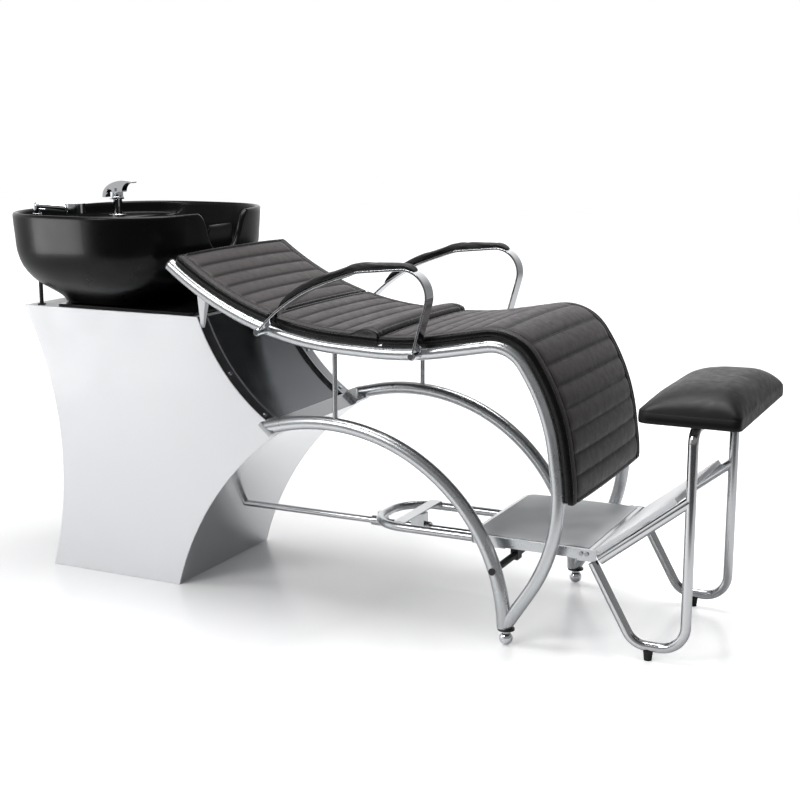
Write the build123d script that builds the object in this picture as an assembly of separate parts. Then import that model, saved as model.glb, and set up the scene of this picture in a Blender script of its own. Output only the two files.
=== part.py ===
from build123d import *
import math
import os

os.makedirs("parts", exist_ok=True)

# Driving dimensions, in millimetres. X runs from the basin to the footrest, the near side is -Y, the floor
# is Z 0 and the origin is the middle of the cabinet's footprint.
cabinet_height = 673.0
cabinet_width = 420.0
cabinet_foot_depth = 388.0
cabinet_top_overhang = 44.0
cabinet_top_front = 268.0
cabinet_waist = 151.0
nose_reach = 485.0
nose_drop = 262.0
nose_face_run = 30.0
nose_face_rise = 26.0
sheet = 3.0
bowl_height = 227.0
bowl_length = 516.0
bowl_width = 640.0
bowl_front = 223.0
bowl_wall = 12.0
foot_reach = 1072.0
frame_half_width = 235.0
seat_drop = 48.0
seat_tube_diameter = 30.0
arch_tube_diameter = 32.0
tube_wall = 1.5
pad_half_width = 247.0
rail_height = 166.0
rail_diameter = 16.0
tread_height = 228.0
tread_start = 958.0
tread_end = 1250.0
sled_half_width = 190.6
sled_tube_diameter = 22.0
footrest_reach = 1459.0
footrest_height = 520.0
footrest_length = 216.0
footrest_half_width = 224.0

# Clearances: faces that rest on each other, shafts that slide, and the overrun of a cut past its faces
rest_gap = 0.3
running_gap = 0.06
overrun = 5.0

# Values worked out from the driving dimensions
bowl_back = bowl_length - bowl_front
bowl_setback = bowl_length / 2 - bowl_front
cabinet_top_back = bowl_back - cabinet_top_overhang
half_cabinet = cabinet_width / 2
inner_half = half_cabinet - sheet
nose_height = cabinet_height - nose_drop
seat_level = cabinet_height - seat_drop
seat_tube_radius = seat_tube_diameter / 2
arch_tube_radius = arch_tube_diameter / 2
sled_tube_radius = sled_tube_diameter / 2
rail_radius = rail_diameter / 2
sides = (-1, 1)

# A bend or run below these is rounding error
least_turn = 1e-7
least_run = 1e-6

# A search by halving ends well below any length that matters
halvings = 40


def unit(vector):
    """The same direction at length 1"""
    size = math.hypot(*vector)
    return tuple(part / size for part in vector)


def rounded_path(points, radii):
    """Runs of a polyline with rounded corners, each as start, heading, length and curvature"""
    count = len(points) - 1
    spans = [math.dist(points[i], points[i + 1]) for i in range(count)]
    headings = [math.atan2(points[i + 1][1] - points[i][1], points[i + 1][0] - points[i][0])
                for i in range(count)]
    turns = [math.remainder(headings[i + 1] - headings[i], 2 * math.pi) for i in range(count - 1)]
    setbacks = [0] + [radius * math.tan(abs(turn) / 2) for radius, turn in zip(radii, turns)] + [0]
    for i, span in enumerate(spans):
        crowding = max(1, (setbacks[i] + setbacks[i + 1]) / span)
        setbacks[i] /= crowding
        setbacks[i + 1] /= crowding
    runs = []
    for i, span in enumerate(spans):
        along = (math.cos(headings[i]), math.sin(headings[i]))
        start = tuple(p + setbacks[i] * a for p, a in zip(points[i], along))
        runs.append((start, headings[i], span - setbacks[i] - setbacks[i + 1], 0))
        if i < count - 1:
            bend = tuple(p - setbacks[i + 1] * a for p, a in zip(points[i + 1], along))
            radius = setbacks[i + 1] / math.tan(abs(turns[i]) / 2)
            runs.append((bend, headings[i], radius * abs(turns[i]), math.copysign(1 / radius, turns[i])))
    return [run for run in runs if run[2] > least_run]


def path_length(path):
    return sum(run[2] for run in path)


def heading_at(path, station):
    """Heading of the path, in radians, at a length along it"""
    for start, heading, length, curve in path:
        if station <= length:
            return heading + curve * station
        station -= length
    return heading + curve * length


def point_at(path, station, offset=0):
    """Point beside the path at a length along it; a positive offset lies to the left of its heading"""
    for start, heading, length, curve in path:
        if station <= length:
            break
        station -= length
    else:
        station += length
    turned = heading + curve * station
    if curve:
        x = start[0] + (math.sin(turned) - math.sin(heading)) / curve
        z = start[1] - (math.cos(turned) - math.cos(heading)) / curve
    else:
        x = start[0] + station * math.cos(heading)
        z = start[1] + station * math.sin(heading)
    return x - offset * math.sin(turned), z + offset * math.cos(turned)


def path_edges(path, first, last, offset, y):
    """Lines and arcs beside the path between two lengths along it, in the plane at y"""
    stops = [first]
    reached = 0
    for run in path:
        reached += run[2]
        if first < reached < last:
            stops.append(reached)
    stops.append(last)
    edges = []
    for begin, end in zip(stops, stops[1:]):
        low, middle, high = [at_y(point_at(path, s, offset), y) for s in (begin, (begin + end) / 2, end)]
        if abs(heading_at(path, end) - heading_at(path, begin)) < least_turn:
            edges.append(Line(low, high))
        else:
            edges.append(ThreePointArc(low, middle, high))
    return edges


def at_y(point, y):
    return Vector(point[0], y, point[1])


def prism(edges, y_low, y_high):
    """Solid between two planes across Y from closed edges that lie at y_low"""
    return extrude(Face(Wire(edges)), amount=y_high - y_low, dir=(0, 1, 0))


def polygon(points, y):
    return [Line(at_y(a, y), at_y(b, y)) for a, b in zip(points, points[1:] + points[:1])]


def block(x_low, x_high, y_low, y_high, z_low, z_high):
    """Box between two corners"""
    size = (x_high - x_low, y_high - y_low, z_high - z_low)
    middle = ((x_low + x_high) / 2, (y_low + y_high) / 2, (z_low + z_high) / 2)
    return Pos(*middle) * Box(*size)


def rod(start, end, radius):
    """Cylinder between two points"""
    axis = Vector(*end) - Vector(*start)
    return extrude(Plane(origin=start, z_dir=axis) * Circle(radius), amount=axis.length)


def strip(path, first, last, low, high, y_low, y_high):
    """Sheet that follows the path between two offsets"""
    under = path_edges(path, first, last, low, y_low)
    over = path_edges(path, first, last, high, y_low)
    ends = [Line(at_y(point_at(path, s, low), y_low), at_y(point_at(path, s, high), y_low))
            for s in (first, last)]
    return prism(under + over + ends, y_low, y_high)


def tube_core(path, y, radius):
    """Solid round bar along the whole path in the plane at y"""
    wire = Wire(path_edges(path, 0, path_length(path), 0, y))
    heading = path[0][1]
    section = Plane(origin=at_y(path[0][0], y),
                    z_dir=(math.cos(heading), 0, math.sin(heading))) * Circle(radius)
    return sweep(section, path=wire)


def arc_sheet(first, middle, last, inset, thickness, y_low, y_high):
    """Sheet along the arc through three points, its outer face set back by the inset"""
    ax, az = first
    bx, bz = middle
    cx, cz = last
    double = 2 * (ax * (bz - cz) + bx * (cz - az) + cx * (az - bz))
    squares = [x * x + z * z for x, z in (first, middle, last)]
    x0 = (squares[0] * (bz - cz) + squares[1] * (cz - az) + squares[2] * (az - bz)) / double
    z0 = (squares[0] * (cx - bx) + squares[1] * (ax - cx) + squares[2] * (bx - ax)) / double
    radius = math.dist((x0, z0), first)
    angles = [math.atan2(z - z0, x - x0) for x, z in (first, middle, last)]
    angles = [angles[1] + math.remainder(a - angles[1], 2 * math.pi) for a in angles]
    spread = overrun / radius * math.copysign(1, angles[2] - angles[0])
    angles = [angles[0] - spread, angles[1], angles[2] + spread]
    near, far = [
        [at_y((x0 + r * math.cos(a), z0 + r * math.sin(a)), y_low) for a in angles]
        for r in (radius + inset, radius + inset + thickness)
    ]
    edges = [ThreePointArc(*near), ThreePointArc(*far), Line(near[0], far[0]), Line(near[2], far[2])]
    return prism(edges, y_low, y_high)


def station_at_height(path, height):
    """Last length along the path at which it comes down through a height"""
    low, high = path_length(path) / 2, path_length(path)
    for _ in range(halvings):
        middle = (low + high) / 2
        if point_at(path, middle)[1] > height:
            low = middle
        else:
            high = middle
    return low


def largest(shape):
    """The piece of a cut shape that stays"""
    return max(shape.solids(), key=lambda solid: solid.volume)


def keep(name, *solids):
    """Write one named piece, or a group of alike pieces"""
    shape = solids[0] if len(solids) == 1 else Compound(children=[Part(s.wrapped) for s in solids])
    export_step(shape, f"parts/{name}.step")


# Cabinet outline: two hollow fronts that meet in a slanted nose face, and a hollow back
waist_share = 0.379
upper_middle_shares = (0.41, 0.43)
frame_rail_size = 30.0
lower_middle_shares = (0.35, 0.539)
foot = cabinet_foot_depth / 2
nose_tip = (nose_reach, nose_height)
nose_top = (nose_reach - nose_face_run, nose_height + nose_face_rise)
top_front = (cabinet_top_front, cabinet_height)
top_back = (-cabinet_top_back, cabinet_height)
back_arc = (top_back, (-cabinet_waist, cabinet_height * waist_share), (-foot, 0))
upper_middle = (
    top_front[0] + upper_middle_shares[0] * (nose_top[0] - top_front[0]),
    nose_top[1] + upper_middle_shares[1] * (top_front[1] - nose_top[1]),
)
upper_arc = (top_front, upper_middle, nose_top)
lower_middle = (
    foot + lower_middle_shares[0] * (nose_reach - foot),
    lower_middle_shares[1] * nose_height,
)
lower_arc = (nose_tip, lower_middle, (foot, 0))
nose_normal = unit((nose_face_rise, nose_face_run))
nose_middle = tuple((a + b) / 2 for a, b in zip(nose_tip, nose_top))


def cabinet_outline(y):
    arcs = [ThreePointArc(*[at_y(p, y) for p in arc]) for arc in (back_arc, upper_arc, lower_arc)]
    ends = [(top_back, top_front), (nose_top, nose_tip), (back_arc[2], lower_arc[2])]
    return arcs + [Line(at_y(a, y), at_y(b, y)) for a, b in ends]


def slanted_slab(low, high, half_width):
    """Slab across the nose face between two distances along its outward normal"""
    corners = []
    for distance, ends in ((low, (nose_top, nose_tip)), (high, (nose_tip, nose_top))):
        for end in ends:
            corners.append(tuple(p + distance * n for p, n in zip(end, nose_normal)))
    return prism(polygon(corners, -half_width), -half_width, half_width)


def cabinet():
    """Painted side panels, curved sheets between them, and the steel frame that stands inside"""
    panel_inset = 6.0
    edge_strip_width = 38.0
    bead_width = 3.0
    bead_rise = 2.0
    nose_beam_depth = 14.0
    inside = prism(cabinet_outline(-inner_half), -inner_half, inner_half)
    for side, name in zip(sides, ("side_panel_near", "side_panel_far")):
        y_low = min(side * half_cabinet, side * inner_half)
        keep(name, prism(cabinet_outline(y_low), y_low, y_low + sheet))
    top_plate = block(-cabinet_top_back, cabinet_top_front, -inner_half, inner_half, cabinet_height - sheet,
                      cabinet_height) & inside
    nose_beam = slanted_slab(-nose_beam_depth, 0, inner_half) & inside
    upper = arc_sheet(*upper_arc, panel_inset, sheet, -inner_half, inner_half) & inside
    lower = (arc_sheet(*lower_arc, 0, sheet, -inner_half, inner_half) & inside) - nose_beam
    back = (arc_sheet(*back_arc, 0, sheet, -inner_half, inner_half) & inside) - top_plate
    strips = []
    beads = []
    for side in sides:
        y_low = min(side * inner_half, side * (inner_half - edge_strip_width))
        piece = arc_sheet(*upper_arc, 0, sheet, y_low, y_low + edge_strip_width) & inside
        strips.append(piece - top_plate - nose_beam)
        y_bead = side * (inner_half - edge_strip_width - bead_width / 2)
        bead = arc_sheet(*upper_arc, -bead_rise, bead_rise + panel_inset, y_bead - bead_width / 2,
                         y_bead + bead_width / 2)
        above_nose = block(0, nose_reach, -inner_half, inner_half, nose_top[1] + bead_rise, cabinet_height)
        beads.append((bead & above_nose) - top_plate - nose_beam)
    keep("back_panel", back)
    keep("top_plate", top_plate - hose_way() - waste_way())
    keep("upper_front_panel", upper - top_plate - nose_beam)
    keep("lower_front_panel", lower - rail_way())
    keep("edge_strips", *strips)
    keep("trim_beads", *beads)
    keep("nose_beam", nose_beam)
    keep("base_frame", base_frame(frame_rail_size, inside - back - lower))
    return panel_screws(edge_strip_width)


def panel_screws(edge_strip_width):
    """Low domed screw heads along both edge strips"""
    head_radius = 5.0
    head_height = 2.5
    place_shares = (0.05, 0.5, 0.93)
    arc = ThreePointArc(*[at_y(p, 0) for p in upper_arc])
    screws = []
    for side in sides:
        for share in place_shares:
            spot = arc.position_at(share)
            tangent = arc.tangent_at(share)
            outward = Vector(-tangent.Z, 0, tangent.X)
            start = Vector(spot.X, side * (inner_half - edge_strip_width / 2), spot.Z) + outward * running_gap
            screws.append(rod(start, start + outward * head_height, head_radius))
    return screws


def base_frame(rail_size, room):
    """Rails on the floor round the footprint, a middle rail, and an upright that holds the sliding rail"""
    edge = foot - 2 * sheet
    upright_thickness = 8.0
    upright_width = 60.0
    upright_rise = 30.0
    back_share = 0.25
    inner = inner_half - rail_size
    middle_low = -back_share * rail_size
    middle_high = middle_low + rail_size
    frame = block(-edge, edge, -inner_half, inner_half, 0, rail_size)
    frame -= block(-edge + rail_size, middle_low, -inner, inner, 0, rail_size)
    frame -= block(middle_high, edge - rail_size, -inner, inner, 0, rail_size)
    upright = block(middle_high - upright_thickness, middle_high, -upright_width / 2, upright_width / 2,
                    rail_size,
                    rail_height + upright_rise)
    return (frame + upright) & room


def hose_way():
    """Hole in the cabinet top for the grommet"""
    return rod((hose_x, hose_y, 0), (hose_x, hose_y, rim_level), grommet_radius)


def waste_way():
    """Hole in the cabinet top and the base plate for the waste pipe"""
    return rod((-bowl_setback, 0, 0), (-bowl_setback, 0, rim_level), waste_radius + waste_gap)


def rail_way():
    return rod((0, 0, rail_height), (nose_reach, 0, rail_height), rail_radius + rest_gap)


# Basin: superellipse sections, a deck at the back for the fittings and a notch for the neck
base_plate_thickness = 8.0
rim_level = cabinet_height + base_plate_thickness + bowl_height
bowl_foot_level = cabinet_height + base_plate_thickness
bowl_power = 2.9
outer_shares = ((0.0, 0.615), (0.022, 0.62), (0.057, 0.635), (0.097, 0.67), (0.155, 0.73), (0.21, 0.795),
                (0.265, 0.845), (0.34, 0.895), (0.42, 0.935), (0.54, 0.968), (0.77, 0.988), (1.0, 1.0))
cavity_shares = ((0.125, 0.16), (0.145, 0.36), (0.19, 0.58), (0.26, 0.77), (0.36, 0.88), (0.54, 0.955),
                 (0.77, 0.984), (1.0, 1.0), (1.03, 1.002))
deck_drop = 33.0
deck_depth = 140.0
deck_thickness = 12.0
deck_level = rim_level - deck_drop
deck_front = deck_depth - bowl_back
waste_radius = 20.0
waste_gap = 2.0
hose_radius = 5.0
hose_inset = 83.0
hose_out_share = 0.59375
hose_x = hose_inset - bowl_back
hose_y = -hose_out_share * bowl_width / 2
grommet_radius = 10.0
notch_half_width = 80.0
notch_depth = 102.0
notch_shoulder = 38.0


def bowl_section(level, share, inset):
    """Closed outline of sixteen arcs close to a superellipse"""
    count = 32
    half_x = share * bowl_length / 2 - inset
    half_y = share * bowl_width / 2 - inset
    points = []
    for i in range(count):
        angle = 2 * math.pi * i / count
        across, along = math.cos(angle), math.sin(angle)
        sum_of_powers = (abs(across) / half_x) ** bowl_power + (abs(along) / half_y) ** bowl_power
        reach = sum_of_powers ** (-1 / bowl_power)
        points.append(Vector(reach * across - bowl_setback, reach * along, level))
    points.append(points[0])
    return Wire([ThreePointArc(*points[i:i + 3]) for i in range(0, count, 2)])


def bowl_body(shares, inset):
    sections = [bowl_section(bowl_foot_level + level * bowl_height, share, inset) for level, share in shares]
    return loft([Face(section) for section in sections], ruled=True)


def neck_notch():
    """Cutter through the front wall: a round bottom and rounded shoulders"""
    top = rim_level + overrun
    bottom = rim_level - notch_depth
    straight_level_share = 0.62
    waist = bottom + straight_level_share * notch_depth
    shoulder_out_share = 0.24
    shoulder_up_share = 0.7
    outline = [ThreePointArc(Vector(0, -notch_half_width, waist), Vector(0, 0, bottom),
                             Vector(0, notch_half_width, waist))]
    for side in sides:
        inner = Vector(0, side * notch_half_width, waist)
        bend = Vector(0, side * (notch_half_width + shoulder_out_share * notch_shoulder),
                      waist + shoulder_up_share * (rim_level - waist))
        outer = Vector(0, side * (notch_half_width + notch_shoulder), rim_level)
        outline.append(ThreePointArc(inner, bend, outer))
        outline.append(Line(outer, Vector(0, outer.Y, top)))
    outline.append(Line(Vector(0, -outer.Y, top), Vector(0, outer.Y, top)))
    return extrude(Face(Wire(outline)), amount=bowl_length, dir=(1, 0, 0))


def basin():
    """Base plate, glazed bowl and its drain"""
    hose_clearance = 60.0
    plate_corner = 12.0
    drain_radius = 25.0
    flange_radius = 32.0
    flange_thickness = 3.0
    strainer_radius = 22.0
    strainer_height = 8.0
    trap_drop = 150.0
    bottle_radius = 34.0
    bottle_height = 90.0
    tail_length = 80.0
    plate = block(hose_x + hose_clearance, cabinet_top_front - plate_corner, -inner_half, inner_half,
                  cabinet_height,
                  bowl_foot_level)
    plate = fillet(plate.edges().filter_by(Axis.Z), plate_corner)
    keep("bowl_base_plate", plate - waste_way())
    outer = bowl_body(outer_shares, 0)
    cavity = bowl_body(cavity_shares, bowl_wall)
    top = rim_level + 2 * overrun
    back_edge = -bowl_setback - bowl_length
    basin_room = block(deck_front, bowl_length, -bowl_width, bowl_width, 0, top)
    deck_room = block(back_edge, deck_front + overrun, -bowl_width, bowl_width, deck_level, top)
    chamber_room = block(back_edge, deck_front - bowl_wall, -bowl_width, bowl_width, 0,
                         deck_level - deck_thickness)
    bowl = outer - (cavity & basin_room) - (cavity & deck_room) - (cavity & chamber_room)
    bowl -= neck_notch()
    bowl -= rod((hose_x, hose_y, bowl_foot_level), (hose_x, hose_y, rim_level), guide_radius + rest_gap)
    bowl -= rod((mixer_x, mixer_y, deck_level - deck_thickness - overrun), (mixer_x, mixer_y, rim_level),
                mixer_shank_radius + rest_gap)
    floor_level = bowl_foot_level + cavity_shares[0][0] * bowl_height
    bowl -= rod((-bowl_setback, 0, cabinet_height), (-bowl_setback, 0, rim_level), drain_radius)
    bowl -= rod((-bowl_setback, 0, floor_level - flange_thickness), (-bowl_setback, 0, rim_level),
                flange_radius)
    keep("bowl", bowl)
    flange_bottom = floor_level - flange_thickness
    flange = rod((-bowl_setback, 0, flange_bottom), (-bowl_setback, 0, floor_level), flange_radius - rest_gap)
    flange += rod((-bowl_setback, 0, bowl_foot_level), (-bowl_setback, 0, flange_bottom),
                  drain_radius - rest_gap)
    flange -= rod((-bowl_setback, 0, cabinet_height), (-bowl_setback, 0, rim_level), waste_radius)
    seat_depth = strainer_height / 2
    flange -= rod((-bowl_setback, 0, floor_level - seat_depth), (-bowl_setback, 0, rim_level),
                  strainer_radius + rest_gap)
    keep("drain_flange", flange)
    keep("hair_strainer", strainer(floor_level - seat_depth + rest_gap, strainer_radius, strainer_height))
    trap_top = bowl_foot_level
    bottle_top = trap_top - trap_drop + bottle_height
    trap = rod((-bowl_setback, 0, bottle_top), (-bowl_setback, 0, trap_top), waste_radius)
    trap += rod((-bowl_setback, 0, bottle_top - bottle_height), (-bowl_setback, 0, bottle_top), bottle_radius)
    trap += rod((-bowl_setback, 0, bottle_top - bottle_height - tail_length), (-bowl_setback, 0, bottle_top),
                waste_radius)
    keep("waste_trap", trap)


def strainer(level, radius, height):
    """Perforated cup that lifts out of the drain, with a knob"""
    hole_radius = 2.0
    hole_count = 8
    ring_share = 0.62
    knob_radius = 4.0
    cup = rod((-bowl_setback, 0, level), (-bowl_setback, 0, level + height / 2), radius)
    cup += rod((-bowl_setback, 0, level), (-bowl_setback, 0, level + 2 * height), knob_radius)
    for i in range(hole_count):
        angle = 2 * math.pi * i / hole_count
        x = -bowl_setback + ring_share * radius * math.cos(angle)
        y = ring_share * radius * math.sin(angle)
        cup -= rod((x, y, level - overrun), (x, y, level + height), hole_radius)
    return cup


# Mixer on the deck, seen from above behind the far side of the basin
mixer_inset = 88.0
mixer_out_share = 0.40625
mixer_x = mixer_inset - bowl_back
mixer_y = mixer_out_share * bowl_width / 2
mixer_base_radius = 24.0
mixer_body_radius = 20.0
mixer_body_height = 52.0
mixer_column_radius = 14.0
mixer_collar_height = 7.0
mixer_shank_radius = 14.0
cartridge_height = 12.0
lever_length = 57.4
lever_width = 22.0
hood_back = 39.6
hood_fall = 20.0
hood_outer_line = ((-33.5, 1.3), (-10.0, 17.7), (25.0, 25.0))
hood_tip = (22.5, 19.0)
hood_mouth = ((33.0, 14.0), 25.0)
hood_relief = ((-22.0, 4.0), -29.6)


def mixer():
    """Body on the deck, cartridge dome that swivels and the hooded lever that lifts on it"""
    base_height = 5.0
    body_top = deck_level + mixer_body_height
    body = rod((mixer_x, mixer_y, deck_level), (mixer_x, mixer_y, deck_level + base_height),
               mixer_base_radius)
    body += rod((mixer_x, mixer_y, deck_level), (mixer_x, mixer_y, body_top), mixer_column_radius)
    body += rod((mixer_x, mixer_y, body_top - mixer_collar_height), (mixer_x, mixer_y, body_top),
                mixer_body_radius)
    body += rod((mixer_x, mixer_y, deck_level - deck_thickness - overrun), (mixer_x, mixer_y, deck_level),
                mixer_shank_radius)
    keep("mixer_body", body)
    ball_level = body_top + rest_gap
    dome_share = 0.9
    dome = rod((mixer_x, mixer_y, ball_level), (mixer_x, mixer_y, ball_level + cartridge_height),
               dome_share * mixer_body_radius)
    ear_radius = 5.0
    ear_gap = lever_width / 2 + rest_gap
    pivot_z = ball_level + cartridge_height + ear_radius
    ears = [block(mixer_x - ear_radius, mixer_x + ear_radius, mixer_y + y_low, mixer_y + y_high,
                  ball_level + cartridge_height, pivot_z + ear_radius)
            for y_low, y_high in ((-ear_gap - ear_radius, -ear_gap), (ear_gap, ear_gap + ear_radius))]
    pin_radius = 2.0
    pin = rod((mixer_x, mixer_y - ear_gap - ear_radius, pivot_z),
              (mixer_x, mixer_y + ear_gap + ear_radius, pivot_z),
              pin_radius)
    keep("mixer_cartridge", dome + ears + pin)
    y_low = mixer_y - lever_width / 2
    low = rest_gap - ear_radius

    def spot(x, z):
        return Vector(mixer_x + x, y_low, pivot_z + z)

    heel, toe = spot(-hood_back, -hood_fall), spot(lever_length, hood_tip[0])
    lip, mouth, corner = spot(lever_length, hood_tip[1]), spot(*hood_mouth[0]), spot(hood_mouth[1], low)
    under = [corner, spot(0, low), spot(*hood_relief[0]), spot(hood_relief[1], -hood_fall), heel]
    outline = [Spline(heel, *[spot(*point) for point in hood_outer_line], toe), Line(toe, lip),
               ThreePointArc(lip, mouth, corner)]
    outline += [Line(a, b) for a, b in zip(under, under[1:])]
    lever = prism(outline, y_low, y_low + lever_width)
    hub = rod((mixer_x, y_low, pivot_z), (mixer_x, y_low + lever_width, pivot_z), ear_radius - rest_gap)
    bore = rod((mixer_x, y_low - overrun, pivot_z), (mixer_x, y_low + lever_width + overrun, pivot_z),
               pin_radius + running_gap)
    keep("mixer_lever", lever + hub - bore)


# Hand shower: it stands in a guide in the deck and its hose runs straight down into the cabinet
guide_radius = 11.0
guide_flange_radius = 16.0
guide_rise = 27.0
guide_flange_height = 4.0
grip_radius = 9.0
grip_length = 93.0
grip_heading = 32.0
grip_fall = 8.0
shower_head_radius = 25.0
shower_head_height = 21.0
hose_tail = 60.0


def hand_shower():
    """Guide, grommet, hose, grip and head"""
    guide_top = deck_level + guide_rise
    guide = rod((hose_x, hose_y, deck_level - deck_thickness), (hose_x, hose_y, guide_top), guide_radius)
    guide += rod((hose_x, hose_y, deck_level), (hose_x, hose_y, deck_level + guide_flange_height),
                 guide_flange_radius)
    guide -= rod((hose_x, hose_y, bowl_foot_level), (hose_x, hose_y, rim_level), hose_radius + rest_gap)
    keep("hose_guide", guide)
    grommet_rise = 3.0
    grommet = rod((hose_x, hose_y, cabinet_height - sheet), (hose_x, hose_y, cabinet_height + grommet_rise),
                  grommet_radius)
    grommet -= rod((hose_x, hose_y, cabinet_height - 2 * sheet),
                   (hose_x, hose_y, cabinet_height + 2 * grommet_rise), hose_radius + rest_gap)
    keep("hose_grommet", grommet)
    grip_level = guide_top + rest_gap
    keep("shower_hose", rod((hose_x, hose_y, cabinet_height - hose_tail), (hose_x, hose_y, grip_level),
                            hose_radius))
    turn = math.radians(grip_heading)
    along = Vector(math.cos(turn), math.sin(turn), 0)
    elbow = Vector(hose_x, hose_y, grip_level + 2 * grip_radius)
    head_spot = elbow + along * grip_length - Vector(0, 0, grip_fall)
    grip = rod((hose_x, hose_y, grip_level), elbow, grip_radius)
    grip += Pos(*elbow) * Sphere(grip_radius)
    grip += rod(elbow, head_spot, grip_radius)
    head_low = head_spot - Vector(0, 0, shower_head_height / 2)
    head_high = head_spot + Vector(0, 0, shower_head_height / 2 + sheet)
    grip += rod(head_low, head_high, shower_head_radius)
    keep("hand_shower", grip)
    face_thickness = 3.0
    face_share = 0.85
    face = rod(head_low - Vector(0, 0, face_thickness), head_low, face_share * shower_head_radius)
    keep("spray_face", face)


# Seat frame: two upper tubes, two arches, posts, and what ties them to the cabinet
seat_point_shares = ((0.2006, 1.2752), (0.3946, 1.024), (0.7743, 1.0), (1.0009, 1.072), (1.084, 0.856),
                     (1.1213, 0.3952), (0.986, 0.0352))
seat_radius_shares = (0.726, 0.742, 0.0774, 0.3946, 0.362)
arch_point_shares = ((0.273, 1.0), (0.631, 0.864), (0.973, 0.48), (0.995, 0.0))
arch_radius_shares = (0.79, 0.722, 0.712)
arch_rise = 60.0
arch_block_thickness = 12.0
arch_block_width = 71.0
arch_level = nose_height + arch_rise
seat_path = rounded_path(
    [(x * foot_reach, z * seat_level) for x, z in seat_point_shares],
    [share * foot_reach for share in seat_radius_shares],
)
arch_start = tuple(p + arch_block_thickness * n for p, n in zip(nose_middle, nose_normal))
arch_span = foot_reach - arch_start[0]
arch_points = [(arch_start[0] + x * arch_span, z * arch_level) for x, z in arch_point_shares]
arch_lead = unit((arch_points[0][0] - arch_start[0], arch_points[0][1] - arch_start[1]))
arch_root = tuple(p - arch_tube_diameter * d for p, d in zip(arch_start, arch_lead))
arch_path = rounded_path([arch_root] + arch_points, [share * arch_span for share in arch_radius_shares])
foot_plate_level = 33.0
foot_plate_thickness = 4.0
tube_foot_level = foot_plate_level + foot_plate_thickness
cross_rod_x = point_at(arch_path, station_at_height(arch_path, rail_height))[0]
post_share = 0.607
post_radius = 5.5
arm_rear_share = 0.1878
arm_front_share = 0.4319
arm_bolt_radius = 4.0


def side_name(stem, side):
    return f"{stem}_{'near' if side < 0 else 'far'}"


def tube_frames():
    """Upper seat tubes, arches and what stands between them"""
    below_foot = block(0, 2 * foot_reach, -bowl_width, bowl_width, -foot_reach, tube_foot_level)
    inward = (-nose_normal[0], 0, -nose_normal[1])
    mitre = extrude(Plane(origin=at_y(arch_start, 0), z_dir=inward) * Rectangle(bowl_width, bowl_width),
                    amount=cabinet_width)
    posts = []
    blocks = []
    plugs = []
    foot_plate_radius = arch_tube_radius + sheet
    for side in sides:
        y = side * frame_half_width
        arch_core = tube_core(arch_path, y, arch_tube_radius)
        seat_core = tube_core(seat_path, y, seat_tube_radius)
        arch_bore = tube_core(arch_path, y, arch_tube_radius - tube_wall)
        seat_bore = tube_core(seat_path, y, seat_tube_radius - tube_wall)
        seat_tube = largest(seat_core - seat_bore - arch_core - below_foot)
        for share in (arm_rear_share, arm_front_share):
            bolt_x, bolt_z = point_at(seat_path, share * path_length(seat_path))
            outer_y = side * (frame_half_width + seat_tube_diameter)
            seat_tube -= rod((bolt_x, y, bolt_z), (bolt_x, outer_y, bolt_z), arm_bolt_radius + running_gap)
        keep(side_name("seat_tube", side), seat_tube)
        keep(side_name("arch_tube", side), largest(arch_core - arch_bore - below_foot - mitre))
        post_x = post_share * foot_reach
        post = rod((post_x, y, nose_height), (post_x, y, seat_level), post_radius)
        posts.append(largest(post - arch_core - seat_core))
        outer = frame_half_width + arch_tube_radius
        y_low = min(side * outer, side * (outer - arch_block_width))
        room = block(0, foot_reach, y_low, y_low + arch_block_width, 0, cabinet_height)
        blocks.append(slanted_slab(0, arch_block_thickness, bowl_width) & room)
        plugs.append(rod((foot_reach, y, foot_plate_level), (foot_reach, y, tube_foot_level),
                         foot_plate_radius))
        plugs.append(end_cap(y))
        plugs.append(rod_plug(side, y) - arch_core)
    keep("support_posts", *posts)
    keep("arch_blocks", *blocks)
    keep("tube_plugs", *plugs)
    cross = rod((cross_rod_x, -frame_half_width, rail_height), (cross_rod_x, frame_half_width, rail_height),
                rail_radius)
    for side in sides:
        cross -= tube_core(arch_path, side * frame_half_width, arch_tube_radius)
    keep("cross_rod", cross)


def end_cap(y):
    """Cap on the upper end of a seat tube"""
    cap_thickness = 4.0
    start, heading = seat_path[0][0], seat_path[0][1]
    back = (start[0] - cap_thickness * math.cos(heading), start[1] - cap_thickness * math.sin(heading))
    return rod(at_y(back, y), at_y(start, y), seat_tube_radius)


def rod_plug(side, y):
    """Black plug on the outside of an arch where the cross rod is fixed"""
    plug_radius = 8.0
    plug_rise = 2.0
    outer = y + side * (arch_tube_radius + plug_rise)
    return rod((cross_rod_x, y, rail_height), (cross_rod_x, outer, rail_height), plug_radius)


def ball_feet():
    """Ball, neck and threaded stud under each end of the frame"""
    ball_radius = 15.0
    neck_radius = 6.0
    flat = 0.4
    nut_radius = 10.0
    nut_height = 5.0
    feet = []
    for side in sides:
        y = side * frame_half_width
        foot_piece = Pos(foot_reach, y, ball_radius - flat) * Sphere(ball_radius)
        foot_piece += rod((foot_reach, y, ball_radius), (foot_reach, y, foot_plate_level), neck_radius)
        foot_piece += rod((foot_reach, y, foot_plate_level - nut_height), (foot_reach, y, foot_plate_level),
                          nut_radius)
        feet.append(foot_piece - block(0, 2 * foot_reach, -bowl_width, bowl_width, -ball_radius, 0))
    keep("ball_feet", *feet)


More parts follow.
